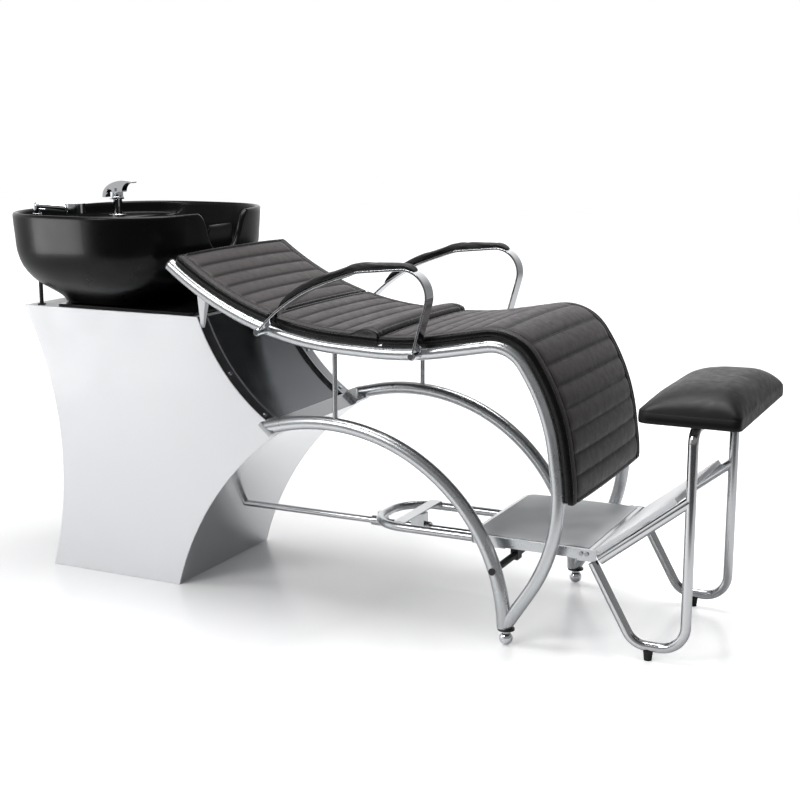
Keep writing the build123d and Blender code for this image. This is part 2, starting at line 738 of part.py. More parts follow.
def seat_brackets():
    """Light wedges that rise from the cabinet's front edge to the underside of the seat tubes"""
    foot_spread = 8.0
    foot_length = 6.0
    foot_out = 8.0
    foot_drop = 26.0
    foot_inset = 12.0
    head_spread = 22.0
    head_length = 24.0
    head_out = 38.0
    body = prism(cabinet_outline(-half_cabinet), -half_cabinet, half_cabinet)
    brackets = []
    for side in sides:
        y = side * frame_half_width
        foot_spot = (cabinet_top_front + foot_out, side * (half_cabinet - foot_inset),
                     cabinet_height - foot_drop)
        head_x = cabinet_top_front + head_out
        head_level = seat_height_at(head_x)
        low = Plane(origin=foot_spot) * Rectangle(foot_length, foot_spread)
        high = Plane(origin=(head_x, y, head_level)) * Rectangle(head_length, head_spread)
        wedge = loft([low, high], ruled=True) - tube_core(seat_path, y, seat_tube_radius) - body
        brackets.append(min(wedge.solids(), key=lambda solid: solid.center().Z))
    keep("seat_brackets", *brackets)


def seat_height_at(x):
    """Height of the seat tube's centreline at a place along the bed"""
    low, high = 0, path_length(seat_path) / 2
    for _ in range(halvings):
        middle = (low + high) / 2
        if point_at(seat_path, middle)[0] < x:
            low = middle
        else:
            high = middle
    return point_at(seat_path, low)[1]


# Upholstery: boards on the tubes and three sewn pads
board_thickness = 6.0
pad_gap = 0.5
back_pad_shares = (0.003, 0.1855)
seat_pad_shares = (0.1885, 0.368)
leg_pad_shares = (0.37, 0.785)
channel_pitch = 47.0
pad_band = 13.0
pad_crown = 7.0
seam_depth = 5.0
seam_draw = 2.0
side_draw = 4.0
front_roll_rise = 14.0
front_roll_length = 70.0
steps_per_channel = 4
end_fall_share = 0.6
roll_share = 0.85


def pad_section(path, station, bottom, band, crown, half_width, draw):
    """Closed outline across a pad: flat underside, bulging sides and a crowned top"""
    heading = heading_at(path, station)
    low = point_at(path, station, bottom)
    normal = Vector(-math.sin(heading), 0, math.cos(heading))
    base = at_y(low, 0)
    left_low = base + Vector(0, draw - half_width, 0)
    right_low = base + Vector(0, half_width - draw, 0)
    left_mid = base + Vector(0, -half_width, 0) + normal * (band / 2)
    right_mid = base + Vector(0, half_width, 0) + normal * (band / 2)
    left_top = base + Vector(0, draw - half_width, 0) + normal * band
    right_top = base + Vector(0, half_width - draw, 0) + normal * band
    outline = [Line(left_low, right_low), ThreePointArc(right_low, right_mid, right_top),
               ThreePointArc(right_top, base + normal * (band + crown), left_top),
               ThreePointArc(left_top, left_mid, left_low)]
    return Face(Wire(outline))


def channelled_pad(first, last, roll):
    """Pad between two lengths along the seat tubes, sewn across at an even pitch"""
    length = last - first
    channels = max(1, round(length / channel_pitch))
    steps = channels * steps_per_channel
    bottom = seat_tube_radius + rest_gap + board_thickness + pad_gap
    sections = []
    for i in range(steps + 1):
        station = first + length * i / steps
        puff = abs(math.sin(math.pi * i / steps_per_channel))
        end_fall = 1 if 0 < i < steps else end_fall_share
        into_roll = (station - (last - front_roll_length)) / front_roll_length
        rolled = roll * math.sin(math.pi * min(1, max(0, into_roll)) * roll_share)
        crown = end_fall * pad_crown - seam_depth * (1 - puff) + rolled + seam_depth
        half_width = pad_half_width - seam_draw * (1 - puff)
        sections.append(pad_section(seat_path, station, bottom, pad_band * end_fall, crown, half_width,
                                    side_draw))
    return loft(sections, ruled=True)


def upholstery():
    """Bent boards over the tubes, and the back, seat and leg pads on them"""
    total = path_length(seat_path)
    board_low = seat_tube_radius + rest_gap
    board_half = pad_half_width - 2 * side_draw
    boards = []
    for shares, roll, name in ((back_pad_shares, 0, "back_pad"),
                               (seat_pad_shares, front_roll_rise, "seat_pad"),
                               (leg_pad_shares, 0, "leg_pad")):
        first, last = shares[0] * total, shares[1] * total
        keep(name, channelled_pad(first, last, roll))
        boards.append(strip(seat_path, first + side_draw, last - side_draw, board_low,
                            board_low + board_thickness,
                            -board_half, board_half))
    keep("seat_boards", *boards)


# Armrests: flat bars that rise from the seat tubes, with padded tops
arm_reach = 421.0
arm_rise = 158.0
arm_width = 36.0
arm_thickness = 5.0
arm_point_shares = ((0.17, 0.524), (0.586, 0.923), (1.039, 1.045), (0.981, 0.441))
arm_radius_shares = (0.99, 0.412, 0.137, 0.443)
arm_pad_shares = (0.123, 0.685)
arm_pad_thickness = 18.0
arm_pad_half_width = 22.0


def armrests():
    """Bar with an eye at each end, its bolts into the seat tube and its pad"""
    eye_radius = 9.0
    head_radius = 7.0
    head_height = 4.0
    arm_pad_steps = 40
    end_fullness_share = 0.25
    blunt = 0.35
    total = path_length(seat_path)
    rear = point_at(seat_path, arm_rear_share * total)
    front = point_at(seat_path, arm_front_share * total)
    middle = [(rear[0] + x * arm_reach, rear[1] + z * arm_rise) for x, z in arm_point_shares]
    path = rounded_path([rear] + middle + [front], [share * arm_reach for share in arm_radius_shares])
    length = path_length(path)
    inner = frame_half_width + seat_tube_radius + rest_gap
    bolts = []
    for side in sides:
        y_low, y_high = sorted((side * inner, side * (inner + arm_width)))
        bar = strip(path, 0, length, -arm_thickness / 2, arm_thickness / 2, y_low, y_high)
        for eye in (rear, front):
            bar += rod(at_y(eye, y_low), at_y(eye, y_high), eye_radius)
        for eye in (rear, front):
            start = side * (frame_half_width + seat_tube_radius - 2 * tube_wall)
            end = side * (inner + arm_width)
            bar -= rod(at_y(eye, start), at_y(eye, end + side * overrun), arm_bolt_radius + running_gap)
            bolt = rod(at_y(eye, start), at_y(eye, end), arm_bolt_radius)
            bolts.append(bolt + rod(at_y(eye, end), at_y(eye, end + side * head_height), head_radius))
        keep(side_name("arm_bar", side), bar)
        first, last = arm_pad_shares[0] * length, arm_pad_shares[1] * length
        sections = []
        for i in range(arm_pad_steps + 1):
            swell = math.sin(math.pi * i / arm_pad_steps) ** blunt
            fullness = end_fullness_share + (1 - end_fullness_share) * swell
            station = first + (last - first) * i / arm_pad_steps
            section = pad_section(path, station, arm_thickness / 2 + rest_gap,
                                  arm_pad_thickness * fullness / 2,
                                  arm_pad_thickness * fullness / 2, arm_pad_half_width * (1 + fullness) / 2,
                                  side_draw / 2)
            sections.append(Pos(0, side * (inner + arm_width / 2), 0) * section)
        keep(side_name("arm_pad", side), loft(sections, ruled=True))
    return bolts


# Sliding footrest: rail, sled frame, tread, kick plate, loops and cushion
sled_bar_radius = 10.0
sled_bar_half_width = 105.0
sled_bar_rise = 25.0
sled_end_x = 666.0
sled_end_radius = 88.0
sled_level = rail_height + sled_bar_rise
collar_x = 770.0
collar_width = 12.0
collar_radius = 14.0
strap_width = 30.0
strap_thickness = 4.0
tread_sheet = 3.0
tread_skirt = 22.0
loop_foot_x = 1346.0
loop_top_x = 1252.0
loop_top_level = 200.0
loop_corner_radius = 55.0
loop_foot_radius = 50.0
top_bar_bend = 28.0
kick_plate_thickness = 12.0
slant_start = (1268.0, 208.0)
slant_end_level = 359.5


def rail():
    """Fixed rail from the upright in the cabinet to the cross rod, and its stop collar"""
    cross = rod((cross_rod_x, -half_cabinet, rail_height), (cross_rod_x, half_cabinet, rail_height),
                rail_radius)
    upright_face_share = 0.75
    bar = rod((upright_face_share * frame_rail_size, 0, rail_height), (cross_rod_x, 0, rail_height),
              rail_radius)
    keep("rail_rod", bar - cross)
    collar = rod((collar_x, 0, rail_height), (collar_x + collar_width, 0, rail_height), collar_radius)
    keep("rod_collar", collar - bar)


def sled_bar():
    """Solid of the bent bar: closed end towards the cabinet, two legs under the tread"""
    leg_end = tread_end - tread_skirt
    corners = [(leg_end, -sled_bar_half_width), (sled_end_x, -sled_bar_half_width),
               (sled_end_x, sled_bar_half_width),
               (leg_end, sled_bar_half_width)]
    path = rounded_path(corners, [sled_end_radius, sled_end_radius])
    edges = []
    reached = 0
    for start, heading, length, curve in path:
        low, middle, high = [Vector(*point_at(path, s), sled_level)
                             for s in (reached, reached + length / 2, reached + length)]
        edges.append(ThreePointArc(low, middle, high) if curve else Line(low, high))
        reached += length
    wire = Wire(edges)
    return [sweep(Plane(origin=wire @ 0, z_dir=wire % 0) * Circle(r), path=wire)
            for r in (sled_bar_radius, sled_bar_radius - tube_wall)]


def sled():
    """Bent bar, its sleeve on the rail, the cross strap with its guide, and the glides it runs on"""
    core, bore = sled_bar()
    keep("sled_frame", core - bore)
    sleeve_radius = 12.0
    sleeve_length = 40.0
    web = 12.0
    rail_bore = rod((0, 0, rail_height), (cross_rod_x, 0, rail_height), rail_radius + running_gap)
    sleeve_start = sled_end_x - sleeve_length
    sleeve = rod((sleeve_start, 0, rail_height), (sled_end_x, 0, rail_height), sleeve_radius)
    sleeve += block(sled_end_x - 2 * web, sled_end_x, -web / 2, web / 2, rail_height, sled_level)
    keep("rod_sleeve", sleeve - core - rail_bore)
    strap_low = sled_level + sled_bar_radius
    strap_end = collar_x - rest_gap - overrun
    strap = block(strap_end - strap_width, strap_end, -sled_bar_half_width, sled_bar_half_width, strap_low,
                  strap_low + strap_thickness)
    guide_half = 13.0
    strap += block(strap_end - strap_width, collar_x - rest_gap, -guide_half, guide_half,
                   rail_height - guide_half,
                   strap_low)
    keep("cross_strap", strap - rail_bore)
    glides = []
    glide_half = 9.0
    glide_width = 13.0
    for side in sides:
        y = side * sled_bar_half_width
        way = rod((tread_start / 2, y, sled_level), (tread_end, y, sled_level), sled_bar_radius + rest_gap)
        piece = block(cross_rod_x - glide_half, cross_rod_x + glide_half, y - glide_width, y + glide_width,
                      rail_height - rail_radius - sheet, sled_level)
        cross = rod((cross_rod_x, -half_cabinet, rail_height), (cross_rod_x, half_cabinet, rail_height),
                    rail_radius)
        glides.append(piece - way - cross)
    keep("glide_blocks", *glides)


def loop_core(side):
    """Solid of one floor loop, from the tread down to the floor and up to the bar under the cushion"""
    corners = [(loop_top_x, loop_top_level), (loop_foot_x, foot_run_level()),
               (footrest_reach, foot_run_level()),
               (footrest_reach, footrest_height - sled_tube_radius - top_bar_bend)]
    path = rounded_path(corners, [loop_foot_radius, loop_corner_radius])
    y = side * sled_half_width
    return tube_core(path, y, sled_tube_radius), tube_core(path, y, sled_tube_radius - tube_wall)


def slant_core(side):
    """Solid of one slanted tube from the tread to the upright of the loop"""
    y = side * sled_half_width
    ends = (at_y(slant_start, y), at_y((footrest_reach, slant_end_level), y))
    return rod(*ends, sled_tube_radius), rod(*ends, sled_tube_radius - tube_wall)


def tread():
    """Folded tread plate with its lugs, its mat and the bearers under it"""
    corner = 30.0
    mat_inset = 10.0
    mat_thickness = 1.5
    bearer_width = 30.0
    half = sled_half_width
    deck_low = tread_height - mat_thickness - tread_sheet
    shell = block(tread_start, tread_end, -half, half, deck_low - tread_skirt + tread_sheet,
                  deck_low + tread_sheet)
    shell = fillet(shell.edges().filter_by(Axis.Z).group_by(Axis.X)[0], corner)
    hollow = block(tread_start + tread_sheet, tread_end - tread_sheet, tread_sheet - half, half - tread_sheet,
                   0, deck_low)
    hollow = fillet(hollow.edges().filter_by(Axis.Z).group_by(Axis.X)[0], corner - tread_sheet)
    plate = shell - hollow
    bolts = []
    for side in sides:
        lug, lug_bolts = lug_plate(side)
        plate += lug - loop_core(side)[0] - slant_core(side)[0]
        bolts += lug_bolts
    keep("tread_plate", plate)
    keep("lug_bolts", *bolts)
    mat = block(tread_start + mat_inset, tread_end - mat_inset, mat_inset - half, half - mat_inset,
                deck_low + tread_sheet, tread_height)
    keep("tread_mat", fillet(mat.edges().filter_by(Axis.Z).group_by(Axis.X)[0], corner - mat_inset))
    bearers = []
    low = sled_level + sled_bar_radius
    inner = half - tread_sheet
    for x in (tread_start + corner + bearer_width, tread_end - tread_skirt - bearer_width):
        bearers.append(block(x, x + bearer_width, -inner, inner, low, deck_low))
    keep("tread_bearers", *bearers)


def footrest():
    """Two loops that run on the floor, the slanted kick plate and the cushion on its bar"""
    slants = []
    feet = []
    for side in sides:
        core, bore = loop_core(side)
        slant, slant_bore = slant_core(side)
        keep(side_name("leg_loop", side), core - bore)
        slants.append(largest(slant - core - slant_bore))
        feet.append(rubber_foot(side * sled_half_width) - core)
    keep("slant_tubes", *slants)
    keep("rubber_feet", *feet)
    keep("top_bar", top_bar(footrest_height - sled_tube_radius))
    plate_low = sled_tube_radius + rest_gap
    plate_lead = 4.0
    plate_end_gap = 14.0
    slant_end = (footrest_reach, slant_end_level)
    direction = unit((slant_end[0] - slant_start[0], slant_end[1] - slant_start[1]))
    normal = (-direction[1], direction[0])
    span = math.dist(slant_start, slant_end) - sled_tube_radius - plate_end_gap
    corners = []
    for along, out in ((plate_lead, plate_low), (span, plate_low), (span, plate_low + kick_plate_thickness),
                       (plate_lead, plate_low + kick_plate_thickness)):
        corners.append(tuple(s + along * d + out * n for s, d, n in zip(slant_start, direction, normal)))
    keep("kick_plate", prism(polygon(corners, -sled_half_width), -sled_half_width, sled_half_width))
    footrest_cushion()


def foot_run_level():
    """Height of the loops' floor run above the rubber feet"""
    rubber_foot_height = 20.0
    return rubber_foot_height + sled_tube_radius


def rubber_foot(y):
    """Tapered rubber foot under a loop"""
    top_radius = 11.0
    bottom_radius = 8.5
    foot_x_share = 0.3
    seat_depth = 3.0
    x = loop_foot_x + foot_x_share * (footrest_reach - loop_foot_x)
    low = Plane((x, y, 0)) * Circle(bottom_radius)
    high = Plane((x, y, foot_run_level() - sled_tube_radius + seat_depth)) * Circle(top_radius)
    return loft([low, high])


def lug_plate(side):
    """Plate on the tread's skirt that carries a loop and a slanted tube, with two bolts"""
    lug_length = 42.0
    lug_height = 26.0
    lug_thickness = 4.0
    lug_lead = 10.0
    bolt_radius = 4.5
    bolt_height = 3.5
    bolt_shares = (0.2, 0.5)
    bolt_level_share = 0.62
    inner = side * sled_half_width
    outer = side * (sled_half_width + lug_thickness)
    y_low, y_high = sorted((inner, outer))
    low = tread_height - tread_skirt - overrun
    plate = block(tread_end + lug_lead - lug_length, tread_end + lug_lead, y_low, y_high, low,
                  low + lug_height)
    bolts = []
    for share in bolt_shares:
        x = tread_end + lug_lead - lug_length + share * lug_length
        z = low + bolt_level_share * lug_height
        bolts.append(rod((x, outer, z), (x, outer + side * bolt_height, z), bolt_radius))
    return plate, bolts


def top_bar(bar_level):
    """Bar under the cushion, bent down at both ends to meet the loops"""
    low = bar_level - top_bar_bend
    path = rounded_path([(-sled_half_width, low), (-sled_half_width, bar_level), (sled_half_width, bar_level),
                         (sled_half_width, low)], [top_bar_bend, top_bar_bend])
    edges = []
    reached = 0
    for start, heading, length, curve in path:
        spots = [point_at(path, s) for s in (reached, reached + length / 2, reached + length)]
        low_end, middle, high_end = [Vector(footrest_reach, y, z) for y, z in spots]
        edges.append(ThreePointArc(low_end, middle, high_end) if curve else Line(low_end, high_end))
        reached += length
    wire = Wire(edges)
    outer, inner = [sweep(Plane(origin=wire @ 0, z_dir=wire % 0) * Circle(r), path=wire)
                    for r in (sled_tube_radius, sled_tube_radius - tube_wall)]
    return outer - inner


def footrest_cushion():
    """Board on the bar and a domed cushion that is fuller towards the end"""
    board = 8.0
    board_inset = 14.0
    cushion_band = 16.0
    cushion_crown = 50.0
    overhang_share = 0.5333
    start = footrest_reach - overhang_share * footrest_length
    end = start + footrest_length
    low = footrest_height + rest_gap
    keep("cushion_board", block(start + board_inset, end - board_inset, board_inset - footrest_half_width,
                                footrest_half_width - board_inset, low, low + board))
    profile_shares = ((0.0, 0.25, 0.93), (0.06, 0.45, 0.975), (0.2, 0.72, 1.0), (0.4, 0.93, 1.0),
                      (0.6, 1.0, 1.0),
                      (0.86, 0.98, 1.0), (0.96, 0.82, 0.985), (1.0, 0.55, 0.95))
    path = rounded_path([(start, low + board), (end, low + board)], [])
    sections = []
    for place, fullness, width_share in profile_shares:
        sections.append(pad_section(path, place * footrest_length, rest_gap, cushion_band,
                                    cushion_crown * fullness,
                                    footrest_half_width * width_share, side_draw))
    keep("footrest_cushion", loft(sections))


screws = cabinet()
basin()
mixer()
hand_shower()
tube_frames()
ball_feet()
seat_brackets()
upholstery()
keep("fasteners", *screws, *armrests())
rail()
sled()
tread()
footrest()
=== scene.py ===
import math

import bmesh
import bpy
import numpy as np
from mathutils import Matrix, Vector


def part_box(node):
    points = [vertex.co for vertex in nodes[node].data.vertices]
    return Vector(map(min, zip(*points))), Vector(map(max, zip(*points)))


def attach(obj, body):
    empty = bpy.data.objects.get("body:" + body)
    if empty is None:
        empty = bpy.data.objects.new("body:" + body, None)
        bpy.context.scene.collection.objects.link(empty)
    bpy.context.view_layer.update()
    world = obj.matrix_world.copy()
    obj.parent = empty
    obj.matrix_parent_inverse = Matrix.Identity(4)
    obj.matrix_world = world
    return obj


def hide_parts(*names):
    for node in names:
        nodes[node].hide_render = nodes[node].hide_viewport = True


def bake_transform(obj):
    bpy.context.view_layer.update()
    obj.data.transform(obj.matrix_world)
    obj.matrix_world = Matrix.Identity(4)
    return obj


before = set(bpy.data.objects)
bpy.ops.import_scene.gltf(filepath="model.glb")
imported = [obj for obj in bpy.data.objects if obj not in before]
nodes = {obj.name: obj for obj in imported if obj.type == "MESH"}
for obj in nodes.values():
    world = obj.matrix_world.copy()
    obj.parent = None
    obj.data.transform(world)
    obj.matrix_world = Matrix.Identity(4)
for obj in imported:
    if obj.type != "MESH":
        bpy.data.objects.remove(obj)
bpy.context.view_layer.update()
millimetre = 0.001


# Camera: it stands at the photograph's place, low and to the right of the basin's side, and looks slightly
# down along the bed.
camera = bpy.data.objects.new("camera", bpy.data.cameras.new("camera"))
camera.data.sensor_width = 36
camera.data.lens = 64.28
camera.location = (2.1553, -3.0191, 1.1479)
camera.rotation_euler = [math.radians(turn) for turn in (78.609, 0, 25.736)]
bpy.context.scene.collection.objects.link(camera)
bpy.context.scene.camera = camera
bpy.context.scene.view_settings.view_transform = "Standard"


# Studio: a white acrylic sheet under and behind the bed that fades into a white backdrop, lit by two wide
# soft lamps. In front of the sheet the studio floor is dark. Only the basin and near panel mirror a low lamp.
def linear(code):
    """Linear colour of an sRGB hex value"""
    parts = [int(code[i:i + 2], 16) / 255 for i in (1, 3, 5)]
    return [p / 12.92 if p <= 0.04045 else ((p + 0.055) / 1.055) ** 2.4 for p in parts] + [1]


def add(tree, kind, sockets=None, **settings):
    """One node: its settings, and for each input a value or the output that feeds it"""
    made = tree.nodes.new(kind)
    for name, value in settings.items():
        setattr(made, name, value)
    for key, value in (sockets or {}).items():
        if isinstance(value, bpy.types.NodeSocket):
            tree.links.new(value, made.inputs[key])
        else:
            made.inputs[key].default_value = value
    return made


def new_finish(name, colour, **sockets):
    """A material of one principled shader, with its plain values set on the shader's own sockets"""
    material = bpy.data.materials.new(name)
    material.use_nodes = True
    shader = material.node_tree.nodes["Principled BSDF"]
    shader.inputs["Base Color"].default_value = linear(colour)
    for key, value in sockets.items():
        shader.inputs[key.replace("_", " ")].default_value = value
    return material, material.node_tree, shader


def feed(tree, shader, **outputs):
    """Lets other nodes' outputs drive the shader's inputs"""
    for key, output in outputs.items():
        tree.links.new(output, shader.inputs[key.replace("_", " ")])


def white_floor():
    """The sheet's far parts are lit apart and stay white, while its middle keeps the bed's soft shadow"""
    away_from_camera = (-0.434, 0.901, 0)
    dark_until, white_from = -1.85, -1.5
    shadow_middle = (-0.1, -0.1, 0)
    shadow_reach, shadow_end = 0.8, 1.7
    floor_width = 24
    floor_drop = 0.2 * millimetre
    material, tree, shader = new_finish("white_acrylic_floor", "#F0F0F0", Roughness=0.24)
    place = add(tree, "ShaderNodeTexCoord")
    depth = add(tree, "ShaderNodeVectorMath", {
        0: place.outputs["Object"], 1: away_from_camera}, operation="DOT_PRODUCT")
    sheet = add(tree, "ShaderNodeMapRange", {
        "Value": depth.outputs["Value"], "From Min": dark_until, "From Max": white_from})
    tone = add(tree, "ShaderNodeMix", {
        "Factor": sheet.outputs[0], 6: linear("#2A2A2B"), 7: linear("#F0F0F0")}, data_type="RGBA")
    out = add(tree, "ShaderNodeVectorMath", {
        0: place.outputs["Object"], 1: shadow_middle}, operation="DISTANCE")
    far = add(tree, "ShaderNodeMapRange", {
        "Value": out.outputs["Value"], "From Min": shadow_reach, "From Max": shadow_end, "To Min": 0.02,
        "To Max": 0.6})
    path = add(tree, "ShaderNodeLightPath")
    seen = add(tree, "ShaderNodeMath", {
        0: path.outputs["Is Camera Ray"], 1: far.outputs[0]}, operation="MULTIPLY")
    feed(tree, shader, Base_Color=tone.outputs[2], Emission_Strength=seen.outputs[0])
    shader.inputs["Emission Color"].default_value = linear("#FFFFFF")
    bpy.ops.mesh.primitive_grid_add(x_subdivisions=8, y_subdivisions=8, size=floor_width,
                                    location=(0, 0, -floor_drop))
    floor = bpy.context.object
    floor.name = "studio_floor"
    floor.data.materials.append(material)


def white_backdrop():
    """White to the camera; what metal mirrors is bright on the left and behind, and dim in front"""
    towards_bright_side = (-0.9, 0.43, 0)
    world = bpy.data.worlds.new("studio")
    bpy.context.scene.world = world
    world.use_nodes = True
    tree = world.node_tree
    tree.nodes.clear()
    place = add(tree, "ShaderNodeTexCoord")
    height = add(tree, "ShaderNodeSeparateXYZ", {0: place.outputs["Generated"]})
    bands = add(tree, "ShaderNodeValToRGB", {0: height.outputs["Z"]})
    ramp = bands.color_ramp
    ramp.elements[0].position = 0.46
    ramp.elements[0].color = (1, 1, 1, 1)
    ramp.elements[1].position = 0.62
    ramp.elements[1].color = (0.23, 0.235, 0.245, 1)
    for spot, level in ((0.78, 0.2), (0.9, 0.6), (0.98, 0.8)):
        step = ramp.elements.new(spot)
        step.color = (level, level, level, 1)
    side = add(tree, "ShaderNodeVectorMath", {
        0: place.outputs["Generated"], 1: towards_bright_side}, operation="DOT_PRODUCT")
    lit = add(tree, "ShaderNodeMapRange", {
        "Value": side.outputs["Value"], "From Min": 0.05, "From Max": 0.6, "To Min": 0.26, "To Max": 1.3})
    path = add(tree, "ShaderNodeLightPath")
    even = add(tree, "ShaderNodeBackground", {"Color": linear("#F4F6FA"), "Strength": 0.27})
    mirrored = add(tree, "ShaderNodeBackground", {
        "Color": bands.outputs["Color"], "Strength": lit.outputs[0]})
    shown = add(tree, "ShaderNodeBackground", {"Color": linear("#FFFFFF"), "Strength": 1.0})
    lights = add(tree, "ShaderNodeMixShader", {
        0: path.outputs["Is Glossy Ray"], 1: even.outputs[0], 2: mirrored.outputs[0]})
    both = add(tree, "ShaderNodeMixShader", {
        0: path.outputs["Is Camera Ray"], 1: lights.outputs[0], 2: shown.outputs[0]})
    add(tree, "ShaderNodeOutputWorld", {"Surface": both.outputs[0]})


def soft_lamp(name, place, target, size, watts):
    lamp = bpy.data.objects.new(name, bpy.data.lights.new(name, "AREA"))
    lamp.data.shape = "RECTANGLE"
    lamp.data.size, lamp.data.size_y = size
    lamp.data.energy = watts
    lamp.location = place
    lamp.rotation_euler = (Vector(target) - Vector(place)).to_track_quat("-Z", "Y").to_euler()
    bpy.context.scene.collection.objects.link(lamp)
    return lamp


white_floor()
white_backdrop()
soft_lamp("overhead_softbox", (0.5, 0.1, 3.2), (0.6, 0, 0.4), (2.8, 1.8), 128)
soft_lamp("near_softbox", (-0.9, -3.6, 2.9), (0, 0, 0.6), (1.6, 1.6), 75)
low_lamp = soft_lamp("low_softbox", (-1.75, -1.98, 0.42), (-0.15, -0.3, 0.8), (1.4, 0.9), 36)
low_lamp.visible_diffuse = False
mirrors_low_lamp = bpy.data.collections.new("mirrors_low_lamp")
low_lamp.light_linking.receiver_collection = mirrors_low_lamp


# Pedestal: two flat side panels, a back and a top of steel sheet, sprayed with a light silver lacquer. The
# lacquer lies in a faint orange peel, with metal flake in it.
def object_place(tree, stretch=(1, 1, 1)):
    """Coordinates in metres on the piece itself, drawn out along an axis where a grain runs"""
    place = add(tree, "ShaderNodeTexCoord")
    return add(tree, "ShaderNodeMapping", {"Vector": place.outputs["Object"], "Scale": stretch}).outputs[0]


def uneven_gloss(tree, shader, pattern, roughness):
    """Roughness that wanders about its middle value as the pattern does"""
    gloss = add(tree, "ShaderNodeMapRange", {
        "Value": pattern.outputs["Fac"], "From Min": 0.3, "From Max": 0.7, "To Min": roughness * 0.85,
        "To Max": roughness * 1.15})
    feed(tree, shader, Roughness=gloss.outputs[0])


def sprayed_lacquer(name, colour, flake_colour, metallic, roughness, coat, shine=0.5):
    """Lacquer: flake that varies the colour a little, and a peel that is drawn 6 mm wide so that it shows"""
    flake_size = 1.2 * millimetre
    peel_size = 6 * millimetre
    material, tree, shader = new_finish(name, colour, Metallic=metallic, Coat_Weight=coat,
                                        Coat_Roughness=0.08, Specular_IOR_Level=shine)
    place = object_place(tree)
    flake = add(tree, "ShaderNodeTexNoise", {"Vector": place, "Scale": 1 / flake_size, "Detail": 2.0})
    tint = add(tree, "ShaderNodeMix", {
        "Factor": flake.outputs["Fac"], 6: linear(colour), 7: linear(flake_colour)}, data_type="RGBA")
    wear = add(tree, "ShaderNodeTexNoise", {"Vector": place, "Scale": 9.0, "Detail": 5.0})
    uneven_gloss(tree, shader, wear, roughness)
    peel = add(tree, "ShaderNodeTexNoise", {"Vector": place, "Scale": 1 / peel_size, "Detail": 1.0})
    bump = add(tree, "ShaderNodeBump", {
        "Height": peel.outputs["Fac"], "Strength": 0.03, "Distance": 0.1 * millimetre})
    feed(tree, shader, Base_Color=tint.outputs[2], Normal=bump.outputs[0])
    return material


def eased(piece, width):
    """Rounds a sheet or block's edges: loose triangles are joined, flat faces merged and edges bevelled"""
    same_place = 0.01 * millimetre
    flat_within = math.radians(0.5)
    edge_beyond = math.radians(32)
    tree = bpy.data.node_groups.get("joined_faces")
    if tree is None:
        tree = bpy.data.node_groups.new("joined_faces", "GeometryNodeTree")
        tree.interface.new_socket("Geometry", in_out="INPUT", socket_type="NodeSocketGeometry")
        tree.interface.new_socket("Geometry", in_out="OUTPUT", socket_type="NodeSocketGeometry")
        start = add(tree, "NodeGroupInput")
        whole = add(tree, "GeometryNodeMergeByDistance", {
            "Geometry": start.outputs[0], "Distance": same_place})
        smooth = add(tree, "GeometryNodeSetShadeSmooth", {"Geometry": whole.outputs[0], "Shade Smooth": True})
        add(tree, "NodeGroupOutput", {0: smooth.outputs[0]})
    piece.modifiers.new("joined", "NODES").node_group = tree
    flat = piece.modifiers.new("flat_faces", "DECIMATE")
    flat.decimate_type = "DISSOLVE"
    flat.angle_limit = flat_within
    bevel = piece.modifiers.new("edges", "BEVEL")
    bevel.width = width
    bevel.segments = 2
    bevel.limit_method = "ANGLE"
    bevel.angle_limit = edge_beyond
    piece.modifiers.new("normals", "WEIGHTED_NORMAL")


def dress(material, *names, edge=0):
    """A CAD piece keeps its shape and takes a finish, with its edges eased where it is sheet or block"""
    for name in names:
        for slot in nodes[name].material_slots:
            slot.material = material
        if edge:
            eased(nodes[name], edge)


pedestal_lacquer = sprayed_lacquer("light_silver_lacquer", "#E0E1E3", "#EBECEE", 0.04, 0.4, 0.05, 0.2)
dress(pedestal_lacquer, "side_panel_near", "side_panel_far", "back_panel", "top_plate", "seat_brackets",
      edge=0.8 * millimetre)
dress(pedestal_lacquer, "kick_plate", edge=2 * millimetre)
mirrors_low_lamp.objects.link(nodes["side_panel_near"])


# Upper front: a hollow sheet of dark polished steel between two bright stainless edge strips, with thin
# chromed beads that cover the joints and low domed screws.
def bright_metal(name, colour, roughness, grain, relief):
    """Bare or plated metal: fine lines or pits of the given size along X, Y and Z, and soft handling marks"""
    material, tree, shader = new_finish(name, colour, Metallic=1.0)
    place = object_place(tree, [1 / size for size in grain])
    lines = add(tree, "ShaderNodeTexNoise", {"Vector": place, "Scale": 1.0, "Detail": 3.0})
    marks = add(tree, "ShaderNodeTexNoise", {"Vector": object_place(tree), "Scale": 14.0, "Detail": 4.0})
    mixed = add(tree, "ShaderNodeMath", {
        0: lines.outputs["Fac"], 1: marks.outputs["Fac"]}, operation="MULTIPLY")
    gloss = add(tree, "ShaderNodeMapRange", {
        "Value": mixed.outputs[0], "From Min": 0.12, "From Max": 0.4, "To Min": roughness * 0.75,
        "To Max": roughness * 1.3})
    bump = add(tree, "ShaderNodeBump", {
        "Height": lines.outputs["Fac"], "Strength": relief, "Distance": 0.05 * millimetre})
    feed(tree, shader, Roughness=gloss.outputs[0], Normal=bump.outputs[0])
    return material


sheet_grain = (2 * millimetre, 2 * millimetre, 120 * millimetre)
dark_steel_sheet = bright_metal("dark_polished_steel_sheet", "#85888C", 0.17, sheet_grain, 0.06)
dress(dark_steel_sheet, "upper_front_panel", edge=0.4 * millimetre)
chrome = bright_metal("chrome_plate", "#E4E6E9", 0.05, [3 * millimetre] * 3, 0.03)
dress(chrome, "trim_beads", "fasteners", edge=0.4 * millimetre)
bright_strip = bright_metal("bright_stainless_strip", "#AEB0B4", 0.09, sheet_grain, 0.04)
dress(bright_strip, "edge_strips", edge=0.4 * millimetre)


